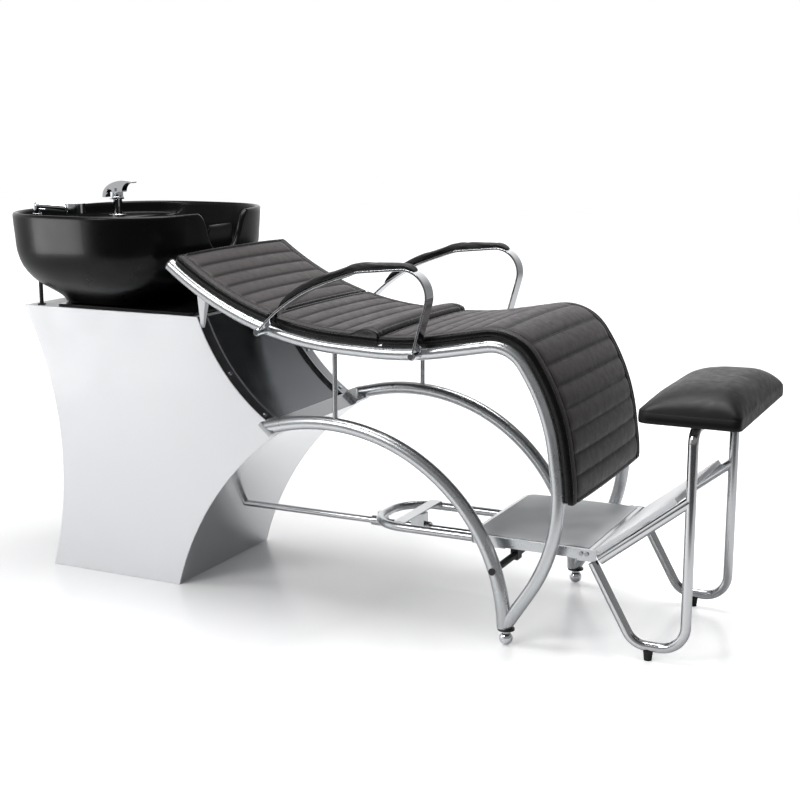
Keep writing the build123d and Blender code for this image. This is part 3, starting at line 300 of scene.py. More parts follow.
# Lower front: a curved sheet of polished stainless steel, and the nose beam above it. Their polishing lines
# run down the sheet.
polished_steel = bright_metal("polished_stainless_sheet", "#D4D5D7", 0.16,
                              (1.5 * millimetre, 1.5 * millimetre, 80 * millimetre), 0.08)
dress(polished_steel, "lower_front_panel", "nose_beam", edge=0.4 * millimetre)


# Inner steel: the base frame and the cross rod, brushed with black primer that dries matt.
black_primer = sprayed_lacquer("black_primer", "#1A1A1C", "#262628", 0.0, 0.5, 0.0)
dress(black_primer, "base_frame", edge=1.0 * millimetre)
dress(black_primer, "cross_rod")


# Basin: a slip-cast bowl in black glaze, on a moulded base plate. Its rim is rolled, the front wall dips in
# a notch for the neck, and a shallow deck at the back carries the fittings.
def black_glaze():
    material, tree, shader = new_finish("black_glazed_ceramic", "#050505", Specular_IOR_Level=0.16,
                                        Coat_Weight=0.05, Coat_Roughness=0.04)
    place = object_place(tree)
    pool = add(tree, "ShaderNodeTexNoise", {"Vector": place, "Scale": 22.0, "Detail": 3.0})
    gloss = add(tree, "ShaderNodeMapRange", {"Value": pool.outputs["Fac"], "To Min": 0.24, "To Max": 0.34})
    pin = add(tree, "ShaderNodeTexNoise", {"Vector": place, "Scale": 1 / (9 * millimetre), "Detail": 1.0})
    bump = add(tree, "ShaderNodeBump", {
        "Height": pin.outputs["Fac"], "Strength": 0.04, "Distance": 0.3 * millimetre})
    feed(tree, shader, Roughness=gloss.outputs[0], Normal=bump.outputs[0])
    return material


def placed(name, mesh, material, body):
    """A mesh as a smooth piece that rides on a body, or on none yet"""
    mesh.shade_smooth()
    mesh.materials.append(material)
    piece = bpy.data.objects.new(name, mesh)
    bpy.context.scene.collection.objects.link(piece)
    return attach(piece, body) if body else piece


def mesh_piece(name, points, faces, material, body):
    """A finished piece from points in metres, with faces that point outwards"""
    mesh = bpy.data.meshes.new(name)
    mesh.from_pydata([tuple(p) for p in points], [], faces)
    shell = bmesh.new()
    shell.from_mesh(mesh)
    bmesh.ops.remove_doubles(shell, verts=shell.verts, dist=0.005 * millimetre)
    bmesh.ops.recalc_face_normals(shell, faces=shell.faces)
    shell.to_mesh(mesh)
    shell.free()
    return placed(name, mesh, material, body)


def rounded(piece, name="soft"):
    """One even subdivision, which is the same in every render"""
    even = piece.modifiers.new(name, "SUBSURF")
    even.levels = even.render_levels = 1


def ring_faces(rings, count):
    """Quads between rings of the same number of points, closed around"""
    faces = []
    for r in range(rings - 1):
        for i in range(count):
            j = (i + 1) % count
            faces.append((r * count + i, r * count + j, (r + 1) * count + j, (r + 1) * count + i))
    return faces


def smooth_share(stops, place):
    """Value of a smooth curve through (place, value) stops"""
    xs = np.array([s[0] for s in stops])
    ys = np.array([s[1] for s in stops])
    slopes = np.gradient(ys, xs)
    i = int(np.clip(np.searchsorted(xs, place) - 1, 0, len(xs) - 2))
    span = xs[i + 1] - xs[i]
    t = (np.clip(place, xs[0], xs[-1]) - xs[i]) / span
    a, b, c, d = 2 * t**3 - 3 * t**2 + 1, t**3 - 2 * t**2 + t, 3 * t**2 - 2 * t**3, t**3 - t**2
    return a * ys[i] + b * span * slopes[i] + c * ys[i + 1] + d * span * slopes[i + 1]


bowl_low, bowl_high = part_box("bowl")
bowl_height = bowl_high.z - bowl_low.z
bowl_half_length = (bowl_high.x - bowl_low.x) / 2
bowl_half_width = (bowl_high.y - bowl_low.y) / 2
bowl_middle_x = bowl_low.x + 258 * millimetre
bowl_power = 2.9
bowl_lean = 64 * millimetre
bowl_wall = 12 * millimetre
bowl_shares = ((0.0, 0.615), (0.03, 0.62), (0.08, 0.65), (0.155, 0.73), (0.21, 0.795), (0.265, 0.845),
               (0.34, 0.895), (0.42, 0.935), (0.54, 0.968), (0.77, 0.988), (1.0, 1.0))
hollow_shares = ((0.125, 0.16), (0.145, 0.36), (0.19, 0.58), (0.26, 0.77), (0.36, 0.88), (0.54, 0.955),
                 (0.77, 0.984), (1.0, 1.0))
notch_half_width = 80 * millimetre
notch_depth = 102 * millimetre
notch_shoulder = 38 * millimetre
deck_drop = 33 * millimetre
deck_front = bowl_low.x + 140 * millimetre
deck_corner_power = 14
lip_radius = 7 * millimetre
drain_radius = 32 * millimetre
drain_step = 3 * millimetre
waste_radius = 26 * millimetre


def bowl_reach(angle, centre_x, half_x, half_y):
    """Distance from a point on the middle line out to the superellipse"""
    near, far = 0.0, 2 * bowl_half_width
    for _ in range(36):
        reach = (near + far) / 2
        x = (centre_x + reach * math.cos(angle) - bowl_middle_x) / half_x
        y = reach * math.sin(angle) / half_y
        if abs(x) ** bowl_power + abs(y) ** bowl_power < 1:
            near = reach
        else:
            far = reach
    return near


def notch_level(y):
    """Height of the rim above the bowl's foot at a place across the front"""
    waist = 0.62 * notch_depth
    radius = (notch_half_width ** 2 + waist ** 2) / (2 * waist)
    across = abs(y)
    if across < notch_half_width:
        drop = notch_depth - radius + math.sqrt(radius ** 2 - across ** 2)
    else:
        out = min(1, (across - notch_half_width) / notch_shoulder)
        drop = (notch_depth - waist) * (1 - out) ** 2.4
    return bowl_height - drop


def bowl_angles():
    """Directions around the bowl, closer together where the notch is steep"""
    front_reach = bowl_half_length * 0.75
    edge = notch_half_width + notch_shoulder
    spots = [edge * math.sin(math.pi / 2 * i / 40) for i in range(-40, 41)]
    steep = [s * notch_half_width for s in (-1, 1) for s in (s * 0.97, s * 0.985, s * 1.015, s * 1.04)]
    angles = [math.atan2(y, front_reach) for y in sorted(spots + steep)]
    rest = 2 * math.pi - 2 * angles[-1]
    return angles + [angles[-1] + rest * i / 120 for i in range(1, 120)]


def bowl_point(angle, level, shares, inset, walled):
    """Point of the bowl's outside or hollow; the hollow also stops at the wall in front of the deck"""
    share = smooth_share(shares, level / bowl_height)
    low_share = hollow_shares[0][1] if walled else 0
    leaning = max(0, (share - low_share) / (1 - low_share)) if walled else share
    centre_x = bowl_middle_x + bowl_lean * leaning
    reach = bowl_reach(angle, centre_x, share * bowl_half_length - inset, share * bowl_half_width - inset)
    if walled and math.cos(angle) < 0:
        wall = (deck_front - centre_x) / math.cos(angle)
        if wall > 0:
            reach = (reach ** -deck_corner_power + wall ** -deck_corner_power) ** (-1 / deck_corner_power)
    return Vector((centre_x + reach * math.cos(angle), reach * math.sin(angle), bowl_low.z + level))


def across_deck(rim_inside, edge):
    """Points from the rim down to the deck and across it to the hollow's edge"""
    gap = (edge - rim_inside).length
    inward = (edge - rim_inside).normalized()
    floor_level = bowl_low.z + bowl_height - deck_drop
    fall = Vector((0, 0, floor_level - rim_inside.z))
    cove = min(gap, 12 * millimetre)
    roll_over = min(gap * 0.5, 7 * millimetre)
    points = [rim_inside + inward * cove * part + fall * down
              for part, down in ((0.05, 0.6), (0.15, 0.93), (0.3, 1.0))]
    return points + [Vector((edge.x, edge.y, floor_level)) - inward * roll_over]


def bowl_column(angle):
    """Points up the outside, over the lip and the deck, if it is there, down the hollow and the drain"""
    outer_rows, lip_rows, inner_rows = 26, 9, 24
    lip_steps, lip_step = 4, 3 * millimetre
    spot = bowl_point(angle, bowl_height, bowl_shares, 0, False)
    in_notch = spot.x > bowl_middle_x and abs(spot.y) < notch_half_width + notch_shoulder
    top = (notch_level(spot.y) if in_notch else bowl_height) - lip_radius
    column = [bowl_point(angle, top * (i / outer_rows) ** 1.3, bowl_shares, 0, False)
              for i in range(outer_rows + 1)]
    rim_inside = bowl_point(angle, top, bowl_shares, bowl_wall, False)
    middle = (column[-1] + rim_inside) / 2
    half = rim_inside - middle
    for i in range(1, lip_rows):
        turn = math.pi * i / lip_rows
        column.append(middle - half * math.cos(turn) + Vector((0, 0, lip_radius * math.sin(turn))))
    column.append(rim_inside)
    edge = bowl_point(angle, top, hollow_shares, bowl_wall, True)
    if spot.x < deck_front or (edge - rim_inside).length > 2 * millimetre:
        column += across_deck(rim_inside, edge)
        hollow_top = bowl_height - deck_drop - 4 * millimetre
    else:
        column += [bowl_point(angle, top - part * lip_step, hollow_shares, bowl_wall, True)
                   for part in range(1, lip_steps + 1)]
        hollow_top = top - 14 * millimetre
    low = hollow_shares[0][0] * bowl_height
    for i in range(inner_rows + 1):
        level = low + (hollow_top - low) * (1 - i / inner_rows) ** 1.6
        column.append(bowl_point(angle, level, hollow_shares, bowl_wall, True))
    floor = column[-1].z
    spoke = Vector((math.cos(angle), math.sin(angle), 0))
    column += [Vector((bowl_middle_x, 0, level)) + spoke * radius for level, radius in (
        (floor, drain_radius), (floor - drain_step, drain_radius), (floor - drain_step, waste_radius),
        (bowl_low.z, waste_radius))]
    return column


def glazed_bowl(material):
    columns = [bowl_column(angle) for angle in bowl_angles()]
    count = len(columns)
    rings = len(columns[0])
    points = [columns[i][r] for r in range(rings) for i in range(count)]
    faces = ring_faces(rings, count)
    faces += [((rings - 1) * count + i, (rings - 1) * count + (i + 1) % count, (i + 1) % count, i)
              for i in range(count)]
    bowl = mesh_piece("glazed_bowl", points, faces, material, "bed")
    rounded(bowl, "cast")
    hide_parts("bowl")
    mirrors_low_lamp.objects.link(bowl)


def moulded_plastic(name, colour, roughness, grain_size, relief):
    """Injection moulding: an even spark-eroded grain and slightly uneven gloss"""
    material, tree, shader = new_finish(name, colour, IOR=1.5)
    place = object_place(tree)
    grain = add(tree, "ShaderNodeTexNoise", {"Vector": place, "Scale": 1 / grain_size, "Detail": 2.0})
    uneven = add(tree, "ShaderNodeTexNoise", {"Vector": place, "Scale": 18.0, "Detail": 3.0})
    uneven_gloss(tree, shader, uneven, roughness)
    bump = add(tree, "ShaderNodeBump", {
        "Height": grain.outputs["Fac"], "Strength": relief, "Distance": 0.1 * millimetre})
    feed(tree, shader, Normal=bump.outputs[0])
    return material


glazed_bowl(black_glaze())
dress(moulded_plastic("gloss_black_abs", "#101011", 0.18, 2 * millimetre, 0.05), "bowl_base_plate",
      edge=1.2 * millimetre)
dress(chrome, "drain_flange", "hair_strainer", edge=0.5 * millimetre)
dress(moulded_plastic("white_polypropylene", "#DAD9D4", 0.45, 1.5 * millimetre, 0.1), "waste_trap")


# Mixer: a chromed brass body on the deck, a cartridge dome that swivels and a hooded lever, cast and rounded.
dress(chrome, "mixer_body", "mixer_cartridge", edge=0.8 * millimetre)
dress(chrome, "mixer_lever", edge=2.5 * millimetre)


# Hand shower: a chromed handle and head with a dark spray face, in a guide in the deck. Its hose runs down
# through a rubber grommet in the cabinet top, where its lower end is held, and draws out with the handle.
def grid_faces(rows, count):
    """Quads of a closed grid of rows around, with both ends closed, facing outwards"""
    faces = []
    for r in range(rows):
        for i in range(count):
            j = (i + 1) % count
            faces.append((r * count + i, (r + 1) * count + i, (r + 1) * count + j, r * count + j))
    faces.append(tuple(range(count)))
    faces.append(tuple(rows * count + i for i in reversed(range(count))))
    return faces


def shower_hose(material):
    low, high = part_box("shower_hose")
    centre = (low + high) / 2
    radius = (high.x - low.x) / 2
    rings, sides = 60, 24
    points = []
    for ring in range(rings + 1):
        for i in range(sides):
            angle = 2 * math.pi * i / sides
            points.append((centre.x + radius * math.cos(angle), centre.y + radius * math.sin(angle),
                           low.z + (high.z - low.z) * ring / rings))
    hose = mesh_piece("drawn_shower_hose", points, grid_faces(rings, sides), material, None)
    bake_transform(hose)
    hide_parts("shower_hose")


dress(chrome, "hose_guide", edge=0.8 * millimetre)
dress(chrome, "hand_shower", edge=3 * millimetre)
black_plastic = moulded_plastic("matt_black_polypropylene", "#161617", 0.5, 1.2 * millimetre, 0.15)
dress(black_plastic, "spray_face", edge=0.4 * millimetre)
black_rubber = moulded_plastic("black_epdm_rubber", "#131314", 0.62, 1.6 * millimetre, 0.2)
dress(black_rubber, "hose_grommet")
shower_hose(black_rubber)


# Seat frame: bent steel tubes in satin silver lacquer, posts, end plugs and flange blocks on the nose.
satin_lacquer = sprayed_lacquer("satin_silver_lacquer", "#BEC0C2", "#C7C9CB", 0.85, 0.27, 0.3)
dress(satin_lacquer, "seat_tube_near", "seat_tube_far", "arch_tube_near", "arch_tube_far", "support_posts")
dress(satin_lacquer, "arch_blocks", edge=1.0 * millimetre)
dress(black_plastic, "tube_plugs", edge=0.5 * millimetre)
dress(chrome, "ball_feet")


# Boards: bent birch plywood under the pads, stained black so that no pale edge shows beside the tubes.
def stained_plywood():
    """Long soft grain that still shows through the stain; it stays matt, so it reads as a dark gap"""
    material, tree, shader = new_finish("black_stained_birch_plywood", "#141313", Roughness=0.55)
    place = object_place(tree, (3, 60, 60))
    grain = add(tree, "ShaderNodeTexNoise", {"Vector": place, "Scale": 3.0, "Detail": 6.0})
    tint = add(tree, "ShaderNodeMix", {
        "Factor": grain.outputs["Fac"], 6: linear("#0E0D0D"), 7: linear("#1E1C1B")}, data_type="RGBA")
    bump = add(tree, "ShaderNodeBump", {
        "Height": grain.outputs["Fac"], "Strength": 0.2, "Distance": 0.2 * millimetre})
    feed(tree, shader, Base_Color=tint.outputs[2], Normal=bump.outputs[0])
    return material


dress(stained_plywood(), "seat_boards", "cushion_board", edge=0.8 * millimetre)


# Pads: foam under sewn grey-brown leatherette, in three sections that follow the tubes. Each is sewn across
# in channels inside a stitched border, and a black band runs round its edge.
def bent_line(points, radii):
    """Runs of a line with rounded corners in the plane of the tube: start, heading, length and curvature"""
    count = len(points) - 1
    spans = [math.dist(points[i], points[i + 1]) for i in range(count)]
    headings = [math.atan2(points[i + 1][1] - points[i][1], points[i + 1][0] - points[i][0])
                for i in range(count)]
    turns = [math.remainder(headings[i + 1] - headings[i], 2 * math.pi) for i in range(count - 1)]
    setbacks = [0] + [radius * math.tan(abs(turn) / 2) for radius, turn in zip(radii, turns)] + [0]
    for i, span in enumerate(spans):
        crowding = max(1, (setbacks[i] + setbacks[i + 1]) / span)
        setbacks[i] /= crowding
        setbacks[i + 1] /= crowding
    runs = []
    for i, span in enumerate(spans):
        along = (math.cos(headings[i]), math.sin(headings[i]))
        start = tuple(p + setbacks[i] * a for p, a in zip(points[i], along))
        runs.append((start, headings[i], span - setbacks[i] - setbacks[i + 1], 0))
        if i < count - 1:
            bend = tuple(p - setbacks[i + 1] * a for p, a in zip(points[i + 1], along))
            radius = setbacks[i + 1] / math.tan(abs(turns[i]) / 2)
            runs.append((bend, headings[i], radius * abs(turns[i]), math.copysign(1 / radius, turns[i])))
    return [run for run in runs if run[2] > 1e-9]


def line_length(line):
    return sum(run[2] for run in line)


def line_spot(line, station):
    """Point on the line and the heading there, at a length along it"""
    for start, heading, length, curve in line:
        if station <= length:
            break
        station -= length
    else:
        station += length
    turned = heading + curve * station
    if curve:
        x = start[0] + (math.sin(turned) - math.sin(heading)) / curve
        z = start[1] - (math.cos(turned) - math.cos(heading)) / curve
    else:
        x = start[0] + station * math.cos(heading)
        z = start[1] + station * math.sin(heading)
    return x, z, turned


def beside(line, station, y, rise):
    """Point at a length along the line, across to y and out along its normal"""
    x, z, turned = line_spot(line, station)
    return Vector((x - rise * math.sin(turned), y, z + rise * math.cos(turned)))


foot_reach = 1.072
seat_level = 0.625
frame_half_width = 0.235
seat_line = bent_line(
    [(x * foot_reach, z * seat_level) for x, z in (
        (0.2006, 1.2752), (0.3946, 1.024), (0.7743, 1.0), (1.0009, 1.072), (1.084, 0.856),
        (1.1213, 0.3952), (0.986, 0.0352))],
    [share * foot_reach for share in (0.726, 0.742, 0.0774, 0.3946, 0.362)])


def sewn_leatherette(name, colour, light_colour, seam_shade_colour, roughness):
    """Coated fabric: a pebble grain of 2 mm cells, a little lighter in random patches, and painted shade that
    darkens it along the seams and the dips beside them; the binding is the same cloth in gloss black"""
    grain_size = 2.2 * millimetre
    material, tree, shader = new_finish(name, colour, Sheen_Weight=0.06, Sheen_Roughness=0.5,
                                        Specular_IOR_Level=0.16)
    place = object_place(tree)
    cells = add(tree, "ShaderNodeTexVoronoi", {
        "Vector": place, "Scale": 1 / grain_size}, feature="DISTANCE_TO_EDGE")
    creases = add(tree, "ShaderNodeTexNoise", {"Vector": place, "Scale": 60.0, "Detail": 6.0})
    patches = add(tree, "ShaderNodeTexNoise", {"Vector": place, "Scale": 7.0, "Detail": 4.0})
    seam_shade = add(tree, "ShaderNodeAttribute", attribute_name="seam_shade")
    binding = add(tree, "ShaderNodeAttribute", attribute_name="binding")
    worn = add(tree, "ShaderNodeMix", {
        "Factor": patches.outputs["Fac"], 6: linear(colour), 7: linear(light_colour)}, data_type="RGBA")
    bound = add(tree, "ShaderNodeMix", {
        "Factor": binding.outputs["Fac"], 6: worn.outputs[2], 7: linear("#070607")}, data_type="RGBA")
    # Painted shade: the seam mask pulls the cloth toward the dark seam colour down in the seams and dips
    sewn = add(tree, "ShaderNodeMix", {
        "Factor": seam_shade.outputs["Fac"], 6: bound.outputs[2], 7: linear(seam_shade_colour)}, data_type="RGBA")
    gloss = add(tree, "ShaderNodeMapRange", {
        "Value": creases.outputs["Fac"], "From Min": 0.3, "From Max": 0.7, "To Min": roughness * 0.85,
        "To Max": roughness * 1.2})
    shiny = add(tree, "ShaderNodeMapRange", {"Value": binding.outputs["Fac"], "To Min": 1.0, "To Max": 0.6})
    gloss = add(tree, "ShaderNodeMath", {0: gloss.outputs[0], 1: shiny.outputs[0]}, operation="MULTIPLY")
    height = add(tree, "ShaderNodeMath", {0: cells.outputs["Distance"], 1: 1.6}, operation="MULTIPLY")
    height = add(tree, "ShaderNodeMath", {0: height.outputs[0], 1: creases.outputs["Fac"]}, operation="ADD")
    bump = add(tree, "ShaderNodeBump", {
        "Height": height.outputs[0], "Strength": 0.25, "Distance": 0.5 * millimetre})
    feed(tree, shader, Base_Color=sewn.outputs[2], Roughness=gloss.outputs[0], Normal=bump.outputs[0])
    return material


def soft_piece(name, points, faces, seam_shades, bindings, material, body):
    """A cover from a closed grid of points in metres, with where it is sewn, and the painted shade there, and
    what is binding as attributes
    """
    mesh = bpy.data.meshes.new(name)
    mesh.from_pydata([tuple(p) for p in points], [], faces)
    mesh.attributes.new("seam_shade", "FLOAT", "POINT").data.foreach_set("value", seam_shades)
    mesh.attributes.new("binding", "FLOAT", "POINT").data.foreach_set("value", bindings)
    return placed(name, mesh, material, body)


def settled(piece, loose, slack, cap):
    """Lets the loose places of a cover swell and pucker between its held seams, as cloth on foam does"""
    steps = 20
    held = piece.vertex_groups.new(name="held")
    held.add([i for i, free in enumerate(loose) if not free], 1.0, "REPLACE")
    cover = piece.modifiers.new("cover", "CLOTH")
    cover.settings.quality = 5
    cover.settings.mass = 0.3
    cover.settings.bending_stiffness = 0.4
    cover.settings.use_pressure = True
    cover.settings.uniform_pressure_force = 4
    cover.settings.shrink_min = -slack
    cover.settings.vertex_group_mass = "held"
    cover.settings.effector_weights.gravity = 0
    cover.collision_settings.use_collision = False
    scene = bpy.context.scene
    for step in range(1, steps + 1):
        scene.frame_set(step)
    shape = piece.evaluated_get(bpy.context.evaluated_depsgraph_get()).data
    swollen = [vertex.co.copy() for vertex in shape.vertices]
    piece.modifiers.remove(cover)
    piece.vertex_groups.remove(held)
    scene.frame_set(1)
    for vertex, place in zip(piece.data.vertices, swollen):
        moved = place - vertex.co
        if moved.length > cap:
            moved *= cap / moved.length
        vertex.co += moved


pad_half_width = 0.247
pad_bottom = 21.8 * millimetre
pad_band = 13 * millimetre
pad_crown = 7 * millimetre
puff_rise = 4.6 * millimetre
channel_pitch = 47 * millimetre
border_width = 28.6 * millimetre
corner_radius = 12 * millimetre
roll_length = 70 * millimetre
channel_cells = 46
under_cells = 14
bead_width = 9.4 * millimetre
# Profile places: inset and rise in millimetres, the painted shade that darkens the seam dips, and binding
bead_profile = ((0, -9, 0, 1), (0, -4, 0, 1), (0.6, -1, 0, 1), (2.2, 1.4, 0, 1), (5, 2.4, 0, 1),
                (8, 1.5, 0, 1))
border_profile = ((9.4, -0.9, 0.5, 1), (10.6, 0.6, 0.3, 0), (14, 1.9, 0, 0), (20, 2.2, 0, 0), (26, 1.5, 0, 0),
                  (28.6, -0.8, 1, 0), (29.8, 0.7, 0.35, 0))
edge_profile = [(millimetre * inset, millimetre * rise, seam_shade, binding) for inset, rise, seam_shade, binding in (
    (7, -13, 0, 1), (1.2, -12.2, 0, 1)) + bead_profile + border_profile]
end_profile = edge_profile[2:2 + len(bead_profile)]


def pad_rows(first, last):
    """Rows along a pad: (station, rise that the end's bead allows, puff, seam and its painted shade, binding,
    gap to the end)
    """
    rows_per_channel = 9
    channels = max(1, round((last - first) / channel_pitch))
    rows = [(first + inset, rise, 0, seam_shade, binding, inset) for inset, rise, seam_shade, binding in end_profile]
    span = last - first - 2 * bead_width
    for r in range(channels * rows_per_channel + 1):
        share = (r % rows_per_channel) / rows_per_channel
        puff = abs(math.sin(math.pi * share)) ** 0.5
        station = first + bead_width + span * r / (channels * rows_per_channel)
        # Painted shade: the seam row is darkest, and the valley slopes beside it are shaded a little
        seam_shade = 1 if share == 0 else 0.3 if puff < 0.6 else 0
        rows.append((station, 1, puff, seam_shade, 0, min(station - first, last - station)))
    rows += [(last - inset, rise, 0, seam_shade, binding, inset)
             for inset, rise, seam_shade, binding in reversed(end_profile)]
    return rows


def pad_columns():
    """Places across a pad: (distance in from its side, rise, seam and its painted shade, binding, whether it
    is on the channels)
    """
    channels_in = 32 * millimetre
    under_in = 24 * millimetre
    width = 2 * pad_half_width
    reach = pad_half_width - channels_in
    near = [(*place, 0) for place in edge_profile]
    middle = [(pad_half_width - reach * (1 - 2 * i / channel_cells), 0, 0, 0, 1)
              for i in range(channel_cells + 1)]
    far = [(width - inset, *rest) for inset, *rest in reversed(near)]
    under = [(inset, -pad_band, 0, 1, 0) for inset in np.linspace(width - under_in, under_in, under_cells)]
    return near + middle + far + under


def corner_draw(station, first, last, round_ends):
    """How far a pad's side pulls in beside its rounded ends"""
    gaps = [gap for gap, is_round in zip((station - first, last - station), round_ends) if is_round]
    short = max(0, corner_radius - min(gaps, default=corner_radius))
    return corner_radius - math.sqrt(max(0, corner_radius ** 2 - short ** 2))


def sewn_pad(name, node, first_share, last_share, round_ends, roll, material, stitch_lines):
    """Closed grid along the tubes: puffed channels inside a border strip, with a bead of binding all round"""
    total = line_length(seat_line)
    first, last = first_share * total, last_share * total
    settle_length = 40 * millimetre
    fade_width = 15 * millimetre
    stitches_from = 20 * millimetre
    seam_depth = 0.8 * millimetre
    columns, rows = pad_columns(), pad_rows(first, last)
    points, seam_shades, bindings, loose = [], [], [], []
    for station, limit, puff, row_seam_shade, row_binding, end_gap in rows:
        draw = corner_draw(station, first, last, round_ends)
        settle = 0.7 + 0.3 * min(1, end_gap / settle_length)
        into_roll = min(1, max(0, (station - (last - roll_length)) / roll_length))
        rolled = roll * math.sin(math.pi * into_roll * 0.85)
        cross_line = []
        for inset, rise, seam_shade, binding, channelled in columns:
            offset = pad_half_width - inset
            edge_gap = pad_half_width - abs(offset)
            y = offset * (pad_half_width - draw) / pad_half_width
            crown = pad_crown * (1 - abs(offset / pad_half_width) ** 2.4) * settle if rise > -pad_band else 0
            out = min(1, max(0, (edge_gap - border_width) / fade_width))
            fade = math.sqrt(1 - (1 - out) ** 2)
            on_top = rise > -4 * millimetre
            height = rise
            if channelled or (on_top and edge_gap > border_width):
                height = -seam_depth + (puff_rise * (0.3 + 0.7 * puff)) * fade
                height -= puff_rise * 0.3 * (1 - puff)
            if limit < 1:
                height = min(height, limit) if not channelled else limit
            lift = crown + (rolled if on_top and edge_gap > 4 * millimetre else 0)
            points.append(beside(seat_line, station, -y, pad_bottom + pad_band + height + lift))
            # Painted shade along the sewn rows, fading in towards the border
            sewn = row_seam_shade * (0.4 + 0.6 * fade) if edge_gap > border_width and on_top and limit == 1 else 0
            seam_shades.append(max(seam_shade, sewn))
            bindings.append(max(binding, row_binding if on_top else 1))
            loose.append(bool(channelled and puff > 0 and limit == 1))
            if channelled:
                cross_line.append(points[-1])
        if puff == 0 and limit == 1 and end_gap > stitches_from:
            stitch_lines.append([p + Vector((0, 0, 0.45 * millimetre)) for p in cross_line])
    count = len(columns)
    beads = len(end_profile)
    for column in (11, 12):
        for mirror in (column, len(edge_profile) * 2 + channel_cells - column):
            side = [points[r * count + mirror] for r in range(beads, len(rows) - beads)]
            stitch_lines.append([p + Vector((0, 0, 0.35 * millimetre)) for p in side])
    pad = soft_piece(name, points, grid_faces(len(rows) - 1, count), seam_shades, bindings, material, "bed")
    hold_seams(pad, seam_shades)
    settled(pad, loose, 0.045, 2.6 * millimetre)
    rounded(pad)
    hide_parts(node)
    return pad


def hold_seams(piece, seam_shades):
    """Keeps the sewn rows sharp where the cover is subdivided"""
    firm, sewn_from = 0.6, 0.9
    crease = [firm if min(seam_shades[i] for i in edge.vertices) > sewn_from else 0 for edge in piece.data.edges]
    piece.data.attributes.new("crease_edge", "FLOAT", "EDGE").data.foreach_set("value", crease)


def stitched(name, lines, spacing, thread, material, body):
    """Lock stitches of polyester thread, laid at an even spacing along sewn lines"""
    points, edges = [], []
    for line in lines:
        edges += [(len(points) + i, len(points) + i + 1) for i in range(len(line) - 1)]
        points += [tuple(p) for p in line]
    mesh = bpy.data.meshes.new(name + "_lines")
    mesh.from_pydata(points, edges, [])
    guide = bpy.data.objects.new(name + "_lines", mesh)
    bpy.context.scene.collection.objects.link(guide)
    tree = bpy.data.node_groups.get("lock_stitches")
    if tree is None:
        tree = bpy.data.node_groups.new("lock_stitches", "GeometryNodeTree")
        tree.interface.new_socket("Geometry", in_out="INPUT", socket_type="NodeSocketGeometry")
        for label in ("Spacing", "Stitch Length", "Thread Radius"):
            tree.interface.new_socket(label, in_out="INPUT", socket_type="NodeSocketFloat")
        tree.interface.new_socket("Thread", in_out="INPUT", socket_type="NodeSocketMaterial")
        tree.interface.new_socket("Geometry", in_out="OUTPUT", socket_type="NodeSocketGeometry")
        start = add(tree, "NodeGroupInput")
        paths = add(tree, "GeometryNodeMeshToCurve", {"Mesh": start.outputs["Geometry"]})
        spots = add(tree, "GeometryNodeCurveToPoints", {
            "Curve": paths.outputs[0], "Length": start.outputs["Spacing"]}, mode="LENGTH")
        stitch = add(tree, "GeometryNodeMeshCylinder", {
            "Vertices": 5, "Radius": start.outputs["Thread Radius"], "Depth": start.outputs["Stitch Length"]})
        laid = add(tree, "GeometryNodeInstanceOnPoints", {
            "Points": spots.outputs["Points"], "Instance": stitch.outputs["Mesh"],
            "Rotation": spots.outputs["Rotation"]})
        real = add(tree, "GeometryNodeRealizeInstances", {0: laid.outputs[0]})
        dyed = add(tree, "GeometryNodeSetMaterial", {
            "Geometry": real.outputs[0], "Material": start.outputs["Thread"]})
        add(tree, "NodeGroupOutput", {0: dyed.outputs[0]})
    sewing = guide.modifiers.new("sewing", "NODES")
    sewing.node_group = tree
    values = {"Spacing": spacing, "Stitch Length": spacing * 0.7, "Thread Radius": thread, "Thread": material}
    for socket in tree.interface.items_tree:
        if socket.name in values:
            sewing[socket.identifier] = values[socket.name]
    depsgraph = bpy.context.evaluated_depsgraph_get()
    threads = bpy.data.meshes.new_from_object(guide.evaluated_get(depsgraph))
    bpy.data.objects.remove(guide)
    piece = bpy.data.objects.new(name, threads)
    bpy.context.scene.collection.objects.link(piece)
    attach(piece, body)
    return piece


def sewing_thread(name, colour):
    """Bonded polyester: a soft sheen, and a twist that shades each stitch"""
    material, tree, shader = new_finish(name, colour, Roughness=0.5, Sheen_Weight=0.3)
    twist = add(tree, "ShaderNodeTexNoise", {"Vector": object_place(tree), "Scale": 1 / (0.8 * millimetre)})
    tint = add(tree, "ShaderNodeMix", {
        "Factor": twist.outputs["Fac"], 6: linear(colour), 7: linear("#383436")}, data_type="RGBA")
    feed(tree, shader, Base_Color=tint.outputs[2])
    return material


# The third colour is the painted shade in the seams and dips
pad_leatherette = sewn_leatherette("grey_brown_pvc_leatherette", "#322D2E", "#3A3636", "#0C0A0B", 0.45)
pad_stitch_lines = []
sewn_pad("sewn_back_pad", "back_pad", 0.003, 0.1855, (True, False), 0, pad_leatherette, pad_stitch_lines)
sewn_pad("sewn_seat_pad", "seat_pad", 0.1875, 0.368, (False, False), 0.014, pad_leatherette, pad_stitch_lines)
sewn_pad("sewn_leg_pad", "leg_pad", 0.37, 0.785, (False, True), 0, pad_leatherette, pad_stitch_lines)
pad_thread = sewing_thread("dark_polyester_thread", "#1C1A1B")
stitched("pad_stitches", pad_stitch_lines, 6 * millimetre, 0.45 * millimetre, pad_thread, "bed")


# Armrests: chromed flat bars with an eye at each end, and black leatherette pads sewn over foam.
dress(chrome, "arm_bar_near", "arm_bar_far", edge=1.0 * millimetre)
# The third colour, #040404, is the painted shade in seams and welts
black_leatherette = sewn_leatherette("black_pvc_leatherette", "#0D0C0D", "#131213", "#040404", 0.42)

